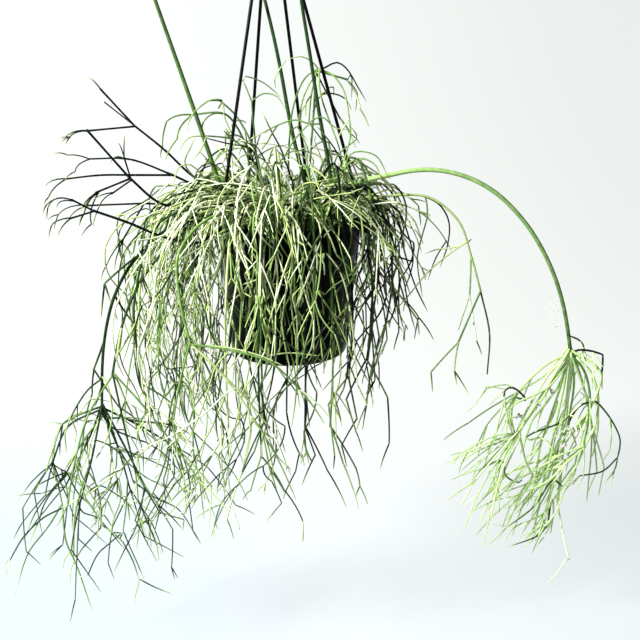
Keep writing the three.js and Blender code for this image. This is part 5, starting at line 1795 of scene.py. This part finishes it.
def make_pot():
    """The pot with its collar, rolled rim, drain holes and four lugs with eyes."""
    sizes = bpy.context.scene.cactus_sizes
    foot, rim, top = wall_radius(0), RIM_RADIUS, POT_HEIGHT
    collar = top - COLLAR_HEIGHT
    inner = wall_radius(top) - WALL + sizes.rim_roll / MM
    pot = turned("pot_body", [
        (40, 1.6), (60, 1.6), (61.5, 0), (foot - 4, 0), (foot - 2.2, 0.4), (foot - 0.8, 1.4),
        (wall_radius(4), 4), (wall_radius(30), 30), (wall_radius(collar - 1.5), collar - 1.5),
        (wall_radius(collar) + 0.6, collar - 0.5), (rim - COLLAR_TAPER - 0.7, collar),
        (rim - COLLAR_TAPER, collar + 0.8), (rim - 1.3, top - 12), (rim - 1.2, top - 6.2),
        (rim - 0.3, top - 5.2), (rim, top - 4.2), (rim, top - 1.4), (rim - 0.4, top - 0.4),
        (rim - 1.4, top), (inner + 0.8, top), (inner, top - 0.7), (inner - 0.5, top - 3),
        (wall_radius(collar) - WALL, collar), (wall_radius(6) - WALL, 6), (foot - 6, 2.2), (30, 2),
    ], sizes.pot_facets)
    cut_away(pot, [post(add(around(i * 360 / DRAIN_HOLES + DRAIN_TURN, DRAIN_RING, 0), (0, 0, 1)),
                        DRAIN_RADIUS, 12, 20) for i in range(DRAIN_HOLES)])
    lugs = []
    height = top - LUG_BELOW_RIM - LUG_THICK / 2
    for azimuth in STRAND_AZIMUTHS.values():
        centre = around(azimuth, LUG_REACH, height)
        eye = post(centre, LUG_RADIUS, LUG_THICK, 32)
        tongue = block(around(azimuth, LUG_REACH - 4, height),
                       (TONGUE_LONG, 2 * LUG_RADIUS, LUG_THICK), azimuth)
        lug = combined(settled(eye), tongue, "UNION")
        lug = cut_away(lug, [post(centre, LUG_HOLE_RADIUS, 3 * LUG_THICK, 24)])
        lugs.append(bevelled(lug, 0.5, 2))
    pot = smooth_by_angle(joined("pot_body", [pot, *lugs]))
    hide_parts("pot")
    coat(pot, "pot_plastic")


def make_soil():
    """A crumbly top with chips of bark, over a plain filled body."""
    sizes = bpy.context.scene.cactus_sizes
    edge = SOIL_TOP - SOIL_EDGE
    inside = wall_radius(edge) - WALL - FIT_GAP
    profile = [(20, 2.4), (wall_radius(0) - 6.5, 2.4), (wall_radius(8) - WALL - FIT_GAP, 8),
               (inside, edge)]
    for i in range(1, SOIL_RINGS):
        share = i / SOIL_RINGS
        profile.append((inside * (1 - share),
                        SOIL_TOP - SOIL_EDGE * (1 - share) ** 6 + SOIL_CROWN * share))
    soil = turned("soil_body", profile, 96)
    lumps = bpy.data.textures.new("soil_lumps", "CLOUDS")
    lumps.noise_scale = LUMP_SCALE
    lumps.noise_depth = 3
    lowest = placed((0, 0, edge + 0.2))[2]
    top = [v.index for v in soil.data.vertices if v.co.z + soil.location.z > lowest]
    soil.vertex_groups.new(name="top").add(top, 1, "REPLACE")
    modified(soil, "DISPLACE", texture=lumps, texture_coords="OBJECT", direction="Z",
             strength=sizes.soil_lumps, mid_level=0.6, vertex_group="top")
    settled(soil).vertex_groups.clear()
    smooth_by_angle(soil, SOIL_SMOOTH)
    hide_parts("soil")
    coat(soil, "potting_mix")

    draw = draws_from(CHIP_SEED)
    chips = []
    deselect()
    bpy.ops.mesh.primitive_ico_sphere_add(subdivisions=1, radius=1)
    chip = bpy.context.active_object
    for v in chip.data.vertices:
        v.co *= 0.75 + 0.5 * draw()
    for _ in range(sizes.bark_chips):
        copy = linked("chip", chip.data.copy())
        out = (inside - 6) * math.sqrt(draw())
        height = SOIL_TOP + SOIL_CROWN * (1 - out / inside) - 0.4
        copy.location = placed(around(360 * draw(), out, height))
        length = mix(*CHIP_LENGTHS, draw()) * MM
        copy.scale = (length, length * mix(*CHIP_WIDTHS, draw()),
                      length * mix(*CHIP_HEIGHTS, draw()))
        copy.rotation_euler = (draw(), draw(), LOOSE_TURN * draw())
        chips.append(copy)
    bpy.data.objects.remove(chip)
    coat(joined("bark_chips", chips), "bark_chips")


def make_strands():
    """Four strands, each with a ball at both ends, a collar over its lug and a clip under it."""
    for place, azimuth in STRAND_AZIMUTHS.items():
        low, high = strand_ends(azimuth)
        along = unit(sub(high, low))
        long = size(sub(high, low))
        knots = [add(low, scaled(along, t * long)) for t in (0, 0.25, 0.5, 0.75, 1)]
        collar = add(low, scaled(along, BALL_RADIUS + LUG_THICK + 2 * FIT_GAP + COLLAR_ABOVE))
        strand = joined("strand_" + place, [
            wire("strand", knots, STRAND_RADIUS, 4),
            bead(low, BALL_RADIUS),
            bead(high, BALL_RADIUS),
            wire("collar", [collar, add(collar, scaled(along, COLLAR_LONG))],
                 STRAND_RADIUS + 0.9, 4),
        ])
        smooth_by_angle(strand, STRAND_SMOOTH)
        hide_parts("hanger_strand_" + place)
        coat(strand, "hanger_plastic")
        under = around(azimuth, RIM_RADIUS + CLIP_OUT,
                       POT_HEIGHT - LUG_BELOW_RIM - LUG_THICK - CLIP_BELOW)
        clip = block(under, CLIP_LENGTHS, azimuth, CLIP_TILT)
        bevelled(clip, 0.55, 3)
        clip.name = "clip_" + place
        coat(smooth_by_angle(clip), "clip_plastic")


def make_hook():
    """The hub disc with its four sockets, and the hook that rises from it."""
    hub_top = HUB_HEIGHT + HUB_THICK
    middle = (HUB_LEAN, 0, HUB_HEIGHT + HUB_THICK / 2)
    hub = post(middle, HUB_RADIUS, HUB_THICK, 64)
    cut_away(hub, [post(add(around(azimuth, HUB_RING, hub_top), (HUB_LEAN, 0, 0)),
                        HUB_HOLE_RADIUS, 4 * HUB_THICK, 24)
                   for azimuth in STRAND_AZIMUTHS.values()])
    bevelled(hub, 0.7, 3)
    boss = bevelled(post((HUB_LEAN, 0, hub_top + 1), BOSS_RADIUS, BOSS_HIGH, 32), 0.8, 3)
    centre = (HUB_LEAN, 0, hub_top + HOOK_NECK + HOOK_RADIUS)
    loop = []
    for i in range(HOOK_BENDS + 1):
        turn = math.radians(mix(HOOK_FROM, HOOK_TO, i / HOOK_BENDS))
        loop.append(add(centre, (HOOK_RADIUS * math.cos(turn), 0, HOOK_RADIUS * math.sin(turn))))
    knots = [middle, (HUB_LEAN, 0, hub_top + HOOK_NECK * NECK_STRAIGHT), *loop]
    rod = wire("rod", curve_through(knots, [k / 8 for k in range(8)]), HOOK_ROD, 6)
    hook = joined("hook_and_hub", [hub, boss, rod, bead(loop[-1], KNOB_RADIUS)])
    smooth_by_angle(hook, STRAND_SMOOTH)
    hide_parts("hanger_hook")
    coat(hook, "hanger_plastic")


# Dried flowers and aerial roots: on the tuft of the long arch and along it
DRY_SEED = 88
DRY_PLACES = groups("350,-36,-88 347,-30,-98 341,-34,-112 277,-50,-66 336,-28,-126 "
                    "318,-30,-42 300,-40,-58 356,-34,-94")
ROOT_PLACES = groups("326,-24,70 333,-26,40 331,-26,58")
BITS = 4
ROOT_THICK = 0.3


def make_dry_bits():
    """Papery dried flowers in the tuft, and a few fine aerial roots on the arch."""
    draw = draws_from(DRY_SEED)
    skin = StemSkin()

    def bit(radius, *places):
        skin.twig(dict(points=places, radius=radius, is_tip=True), draw())

    for place in DRY_PLACES:
        for _ in range(BITS):
            towards = leaning((0, 0, -1), 1.6 * draw(), LOOSE_TURN * draw())
            middle, end = (add(place, scaled(towards, 4)),
                           add(place, scaled(towards, 7 + 4 * draw())))
            end = add(end, (3 * draw() - 1.5, 3 * draw() - 1.5, 3 * draw() - 1.5))
            bit(0.7 + 0.5 * draw(), place, middle, end)
    for place in ROOT_PLACES:
        for _ in range(BITS):
            towards = unit((-0.8 - draw(), draw() - 0.5, -0.5 * draw() - 0.2))
            end = add(add(place, scaled(towards, 20)), (0, 0, -6 * draw()))
            bit(ROOT_THICK, place, add(place, scaled(towards, 7)), end)
    skin.piece("dried_flowers", "dry_paper", "stem_pale")


def make_long_shoots(room):
    """The long shoots. Thick ones with tones of their own stay as thick as their solids."""
    for shoot in LONG_SHOOTS:
        stems, twigs, ends = grow_shoot(shoot, room)
        twigs += filled_out(shoot, ends)
        if "tone" not in shoot or shoot["thick"][0] < THICK_STEM:
            slimmer(stems)
            slimmer(twigs)
        if shoot["colour"] == "dark":
            slimmer(twigs)
        piece = skin_shoot("fine_" + shoot["name"], stems, twigs, shoot["colour"], shoot["seed"],
                           shoot.get("tone"), shoot.get("shade", 0))
        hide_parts(shoot["name"])


def make_ring_shoots(room, *rings):
    """The rings' shoots: thicker the further right they hang, and darker there as painted shade."""
    for ring, shoots in zip(RINGS, rings):
        for shoot in shoots:
            stems, twigs, ends = grow_shoot(shoot, room)
            twigs += filled_out(shoot, ends)
            x, y, _ = shoot["route"][-1]
            right = max(x / math.hypot(x, y), 0)
            slimmer(stems + twigs, mix(SLIM, 1, right))
            # Painted shade: the further right a shoot hangs, the darker its tones
            piece = skin_shoot("fine_" + shoot["name"], stems, twigs, shoot["colour"],
                               shoot["seed"], shade=SHADE * right - ring["paler"])
            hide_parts(shoot["name"])


def make_fillings():
    for fill in FILLINGS:
        skin_shoot(fill["name"], [], grow_filling(fill), "green", fill["seed"])
    for cluster in CLUSTERS:
        skin_shoot(cluster["name"], [], grow_cluster(cluster), cluster["colour"],
                   cluster["seed"])


def make_sprays():
    for name, (spray, colour, paler) in DRAWN.items():
        skin = StemSkin()
        for length in drawn_lengths(spray, paler):
            skin.length(length)
        skin.piece(name, "stem_" + colour, "stem_" + colour)


# The stage. Lights: place from the pot's middle and size in metres, and the setting of their power
LIGHTS = dict(
    window_light=((-1.7, -1.05, 1.25), 0.4, "window_power"),
    front_light=((0.7, -2.0, 0.9), 1.6, "front_power"),
)
CAMERA_PLACE = (38, -1172, 390)
SENSOR = 36


def select_edges(piece, is_chosen):
    """Selects the edges whose two ends are both chosen."""
    bpy.ops.object.mode_set(mode="OBJECT")
    corners = piece.data.vertices
    for edge in piece.data.edges:
        edge.select = all(is_chosen(corners[k].co) for k in edge.vertices)
    bpy.ops.object.mode_set(mode="EDIT")


def make_sweep():
    """A floor that sweeps up into a wall."""
    settings = bpy.context.scene.cactus_stage
    deselect()
    floor_z = CAD_BOX[0][2] - settings.floor_drop
    bpy.ops.mesh.primitive_plane_add(size=settings.floor_size, location=(*FOOT[:2], floor_z))
    floor = named("studio_sweep")
    far = settings.floor_size * 0.45
    bpy.ops.object.mode_set(mode="EDIT")
    bpy.ops.mesh.select_mode(type="EDGE")
    bpy.ops.mesh.select_all(action="DESELECT")
    select_edges(floor, lambda corner: corner.y > far)
    bpy.ops.mesh.extrude_region_move(TRANSFORM_OT_translate={"value": (0, 0, settings.wall_height)})
    select_edges(floor, lambda corner: corner.y > far and abs(corner.z) < 0.01)
    bpy.ops.mesh.bevel(offset=settings.sweep_radius, segments=24, affect="EDGES")
    bpy.ops.object.mode_set(mode="OBJECT")
    smooth_by_angle(settled(floor), 40)
    floor.data.materials.append(finish("studio_sweep"))
    floor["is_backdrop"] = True


def make_wall():
    """A wall all round, for views from the sides and the back. It lights nothing."""
    deselect()
    distance = bpy.context.scene.cactus_stage.wall_distance
    bpy.ops.mesh.primitive_uv_sphere_add(segments=64, ring_count=32, radius=distance, location=FOOT)
    wall = smooth_by_angle(settled(named("studio_wall")))
    wall.data.materials.append(finish("studio_wall"))
    wall.visible_diffuse = wall.visible_glossy = wall.visible_shadow = False
    wall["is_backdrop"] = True


def make_stage():
    """The sweep, the wall, soft lights and the camera."""
    make_sweep()
    make_wall()
    scene = bpy.context.scene
    settings = scene.cactus_stage
    world = bpy.data.worlds.new("studio")
    world.use_nodes = True
    sky = world.node_tree.nodes["Background"]
    sky.inputs["Color"].default_value = (*settings.sky, 1)
    sky.inputs["Strength"].default_value = settings.sky_strength
    scene.world = world
    scene.view_settings.view_transform = "Standard"
    centre = placed((0, 0, POT_HEIGHT / 2))
    for name, (offset, wide, power) in LIGHTS.items():
        light = bpy.data.lights.new(name, "AREA")
        light.energy = getattr(settings, power)
        light.size = wide
        lamp = linked(name, light)
        lamp.location = add(centre, offset)
        x, y, z = offset
        lamp.rotation_euler = (math.atan2(math.hypot(x, y), z), 0, -math.atan2(-x, -y))
        lamp.visible_camera = False

    data = bpy.data.cameras.new("camera")
    data.sensor_width = SENSOR
    data.lens = settings.lens
    data.dof.use_dof = False
    camera = linked("camera", data)
    camera.location = placed(CAMERA_PLACE)
    camera.rotation_euler = (math.radians(90 - settings.camera_tilt), 0, 0)
    scene.camera = camera


# Settings
def number_property(name, description, default, unit="NONE"):
    return FloatProperty(name=name, description=description, default=default, unit=unit)


def colour_property(name, description, default):
    return FloatVectorProperty(name=name, description=description, default=default,
                               subtype="COLOR", min=0, max=1)


class CactusSizes(bpy.types.PropertyGroup):
    """Sizes that a user would change."""

    rim_roll: number_property(
        "Rim roll", "How far the rim's inner edge rolls in", 0.0012, "LENGTH")
    pot_facets: IntProperty(
        name="Pot facets", description="Sides of the turned pot", default=144)
    soil_lumps: number_property(
        "Soil lumps", "Height of the lumps in the soil's top", 0.004, "LENGTH")
    bark_chips: IntProperty(
        name="Bark chips", description="Number of bark chips on the soil", default=240)


class CactusColours(bpy.types.PropertyGroup):
    """Colours of the finishes."""

    # The darkest green of the oldest stems, which the stems' undersides also get as painted shade
    deep_green_and_painted_shade: colour_property("Deep green", "Oldest stems and undersides", (0.0015, 0.005, 0.0015))
    leaf: colour_property("Leaf green", "Most stems", (0.028, 0.072, 0.02))
    fresh: colour_property("Fresh green", "Stems in full growth", (0.15, 0.29, 0.065))
    lime: colour_property("Lime", "Younger stems", (0.45, 0.58, 0.2))
    mint: colour_property("Mint", "The long arch", (0.19, 0.34, 0.1))
    pale_mint: colour_property("Pale mint", "The arch's younger stems", (0.5, 0.74, 0.26))
    frost: colour_property("Frost", "The arch's palest stems", (0.78, 0.95, 0.55))
    cream: colour_property("Cream", "Palest stems", (0.82, 0.88, 0.62))
    tip: colour_property("Young tip", "Pale yellow-green of young tips", (0.52, 0.67, 0.2))
    joint: colour_property("Joint", "Straw colour where two lengths meet", (0.42, 0.4, 0.2))
    pot: colour_property("Pot", "Black pot plastic", (0.0005, 0.0006, 0.0009))
    dust: colour_property("Dust", "Dust and water marks", (0.004, 0.005, 0.007))
    hanger: colour_property("Hanger", "Black hanger plastic", (0.001, 0.001, 0.0012))
    clip: colour_property("Clip", "Grey rim clips", (0.2, 0.23, 0.25))
    soil: colour_property("Soil", "Moist potting mix", (0.018, 0.011, 0.007))
    bark: colour_property("Bark", "Bark chips", (0.14, 0.075, 0.035))
    dry: colour_property("Dried flower", "Papery dried flowers", (0.8, 0.76, 0.66))


class CactusStage(bpy.types.PropertyGroup):
    """Stage, lights and camera."""

    floor: colour_property("Floor", "Pale floor and wall", (0.965, 1, 0.975))
    # The near and left tints colour only the sweep's painted glow
    floor_near: colour_property(
        "Near floor", "Cooler tone of the floor's near side", (0.9, 0.97, 1))
    floor_left: colour_property("Left floor", "Bluer tone of its near left", (0.6, 0.75, 0.95))
    sky: colour_property("Sky", "Soft light from all round", (0.95, 0.98, 1.0))
    floor_size: number_property("Floor size", "Width of the floor", 9, "LENGTH")
    floor_drop: number_property("Floor drop", "Floor below the lowest tip", 0.12, "LENGTH")
    wall_height: number_property("Wall height", "Height of the wall", 4.5, "LENGTH")
    sweep_radius: number_property("Sweep", "Bend from the floor to the wall", 3.4, "LENGTH")
    wall_distance: number_property("Wall distance", "Radius of the wall all round", 8, "LENGTH")
    lens: number_property("Lens", "Focal length in millimetres", 56.25)
    camera_tilt: number_property("Camera tilt", "Degrees below level", 16.8)
    sky_strength: number_property("Sky strength", "Light from all round", 0.03)
    window_power: number_property("Window", "Power of the window light", 150, "POWER")
    front_power: number_property("Front", "Power of the front light", 5, "POWER")
    glow_left: number_property("Glow at the left", "The sweep's own light, at its left", 0.98)
    glow_right: number_property("Glow at the right", "The sweep's own light, at its right", 0.8)
    glow_round: number_property(
        "Glow all round", "The light of the wall at the sides and the back", 0.62)
    glow_near: number_property(
        "Glow nearby", "Share of the sweep's own light that its near side has", 0.9)


# Operators
ROOM = []


def room_for_rings():
    """The room with the long shoots and all the rings' stems set out, and the rings' shoots."""
    if not ROOM:
        room = Room()
        ROOM.extend([room, *(ring_shoots(ring, room) for ring in RINGS)])
    return ROOM


class CACTUS_OT_pot(bpy.types.Operator):
    """Model the pot with its collar, rolled rim, lugs and drain holes"""

    bl_idname = "cactus.pot"
    bl_label = "Pot"

    def execute(self, context):
        make_pot()
        return {"FINISHED"}


class CACTUS_OT_soil(bpy.types.Operator):
    """Model the potting mix and its bark chips"""

    bl_idname = "cactus.soil"
    bl_label = "Soil"

    def execute(self, context):
        make_soil()
        return {"FINISHED"}


class CACTUS_OT_strands(bpy.types.Operator):
    """Model the hanger's four strands and their clips"""

    bl_idname = "cactus.strands"
    bl_label = "Strands"

    def execute(self, context):
        make_strands()
        return {"FINISHED"}


class CACTUS_OT_hook(bpy.types.Operator):
    """Model the hub and the hook"""

    bl_idname = "cactus.hook"
    bl_label = "Hook"

    def execute(self, context):
        make_hook()
        return {"FINISHED"}


class CACTUS_OT_long_shoots(bpy.types.Operator):
    """Grow the long shoots whose places are given"""

    bl_idname = "cactus.long_shoots"
    bl_label = "Long shoots"

    def execute(self, context):
        make_long_shoots(room_for_rings()[0])
        return {"FINISHED"}


class CACTUS_OT_ring_shoots(bpy.types.Operator):
    """Grow the rings of shoots that arch over the rim"""

    bl_idname = "cactus.ring_shoots"
    bl_label = "Ring shoots"

    def execute(self, context):
        make_ring_shoots(*room_for_rings())
        return {"FINISHED"}


class CACTUS_OT_fillings(bpy.types.Operator):
    """Grow the many finer stems and twigs that fill the plant out"""

    bl_idname = "cactus.fillings"
    bl_label = "Filling stems"

    def execute(self, context):
        make_fillings()
        return {"FINISHED"}


class CACTUS_OT_sprays(bpy.types.Operator):
    """Lay the stems that are drawn one by one: tuft, left spray, front, crown and right"""

    bl_idname = "cactus.sprays"
    bl_label = "Drawn sprays"

    def execute(self, context):
        make_sprays()
        return {"FINISHED"}


class CACTUS_OT_dry_bits(bpy.types.Operator):
    """Add the dried flowers and the aerial roots"""

    bl_idname = "cactus.dry_bits"
    bl_label = "Dried flowers"

    def execute(self, context):
        make_dry_bits()
        return {"FINISHED"}


class CACTUS_OT_stage(bpy.types.Operator):
    """Set up the sweep, wall, lights and camera"""

    bl_idname = "cactus.stage"
    bl_label = "Stage"

    def execute(self, context):
        make_stage()
        return {"FINISHED"}


OPERATORS = (
    CACTUS_OT_pot,
    CACTUS_OT_soil,
    CACTUS_OT_strands,
    CACTUS_OT_hook,
    CACTUS_OT_long_shoots,
    CACTUS_OT_ring_shoots,
    CACTUS_OT_fillings,
    CACTUS_OT_sprays,
    CACTUS_OT_dry_bits,
    CACTUS_OT_stage,
)
GROUPS = dict(cactus_sizes=CactusSizes, cactus_colours=CactusColours, cactus_stage=CactusStage)


class CACTUS_PT_panel(bpy.types.Panel):
    """Lists the plant's pieces in the sidebar."""

    bl_idname = "CACTUS_PT_panel"
    bl_label = "Mistletoe Cactus"
    bl_space_type = "VIEW_3D"
    bl_region_type = "UI"
    bl_category = "Cactus"

    def draw(self, context):
        for operator in OPERATORS:
            self.layout.operator(operator.bl_idname)
        for group in GROUPS:
            settings = getattr(context.scene, group)
            box = self.layout.box()
            for key in settings.bl_rna.properties.keys():
                if key not in ("rna_type", "name"):
                    box.prop(settings, key)


CLASSES = (*GROUPS.values(), *OPERATORS, CACTUS_PT_panel)


def register():
    for each in CLASSES:
        bpy.utils.register_class(each)
    for name, group in GROUPS.items():
        setattr(bpy.types.Scene, name, PointerProperty(type=group))


def unregister():
    for name in GROUPS:
        delattr(bpy.types.Scene, name)
    for each in reversed(CLASSES):
        bpy.utils.unregister_class(each)


def main():
    register()
    bpy.ops.cactus.pot()
    bpy.ops.cactus.soil()
    bpy.ops.cactus.strands()
    bpy.ops.cactus.hook()
    bpy.ops.cactus.long_shoots()
    bpy.ops.cactus.ring_shoots()
    bpy.ops.cactus.fillings()
    bpy.ops.cactus.sprays()
    bpy.ops.cactus.dry_bits()
    bpy.ops.cactus.stage()
    boxes = {"cad": CAD_BOX, "visual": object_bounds()}
    {key: [list(corner) for corner in box] for key, box in boxes.items()}


if __name__ == "__main__":
    main()
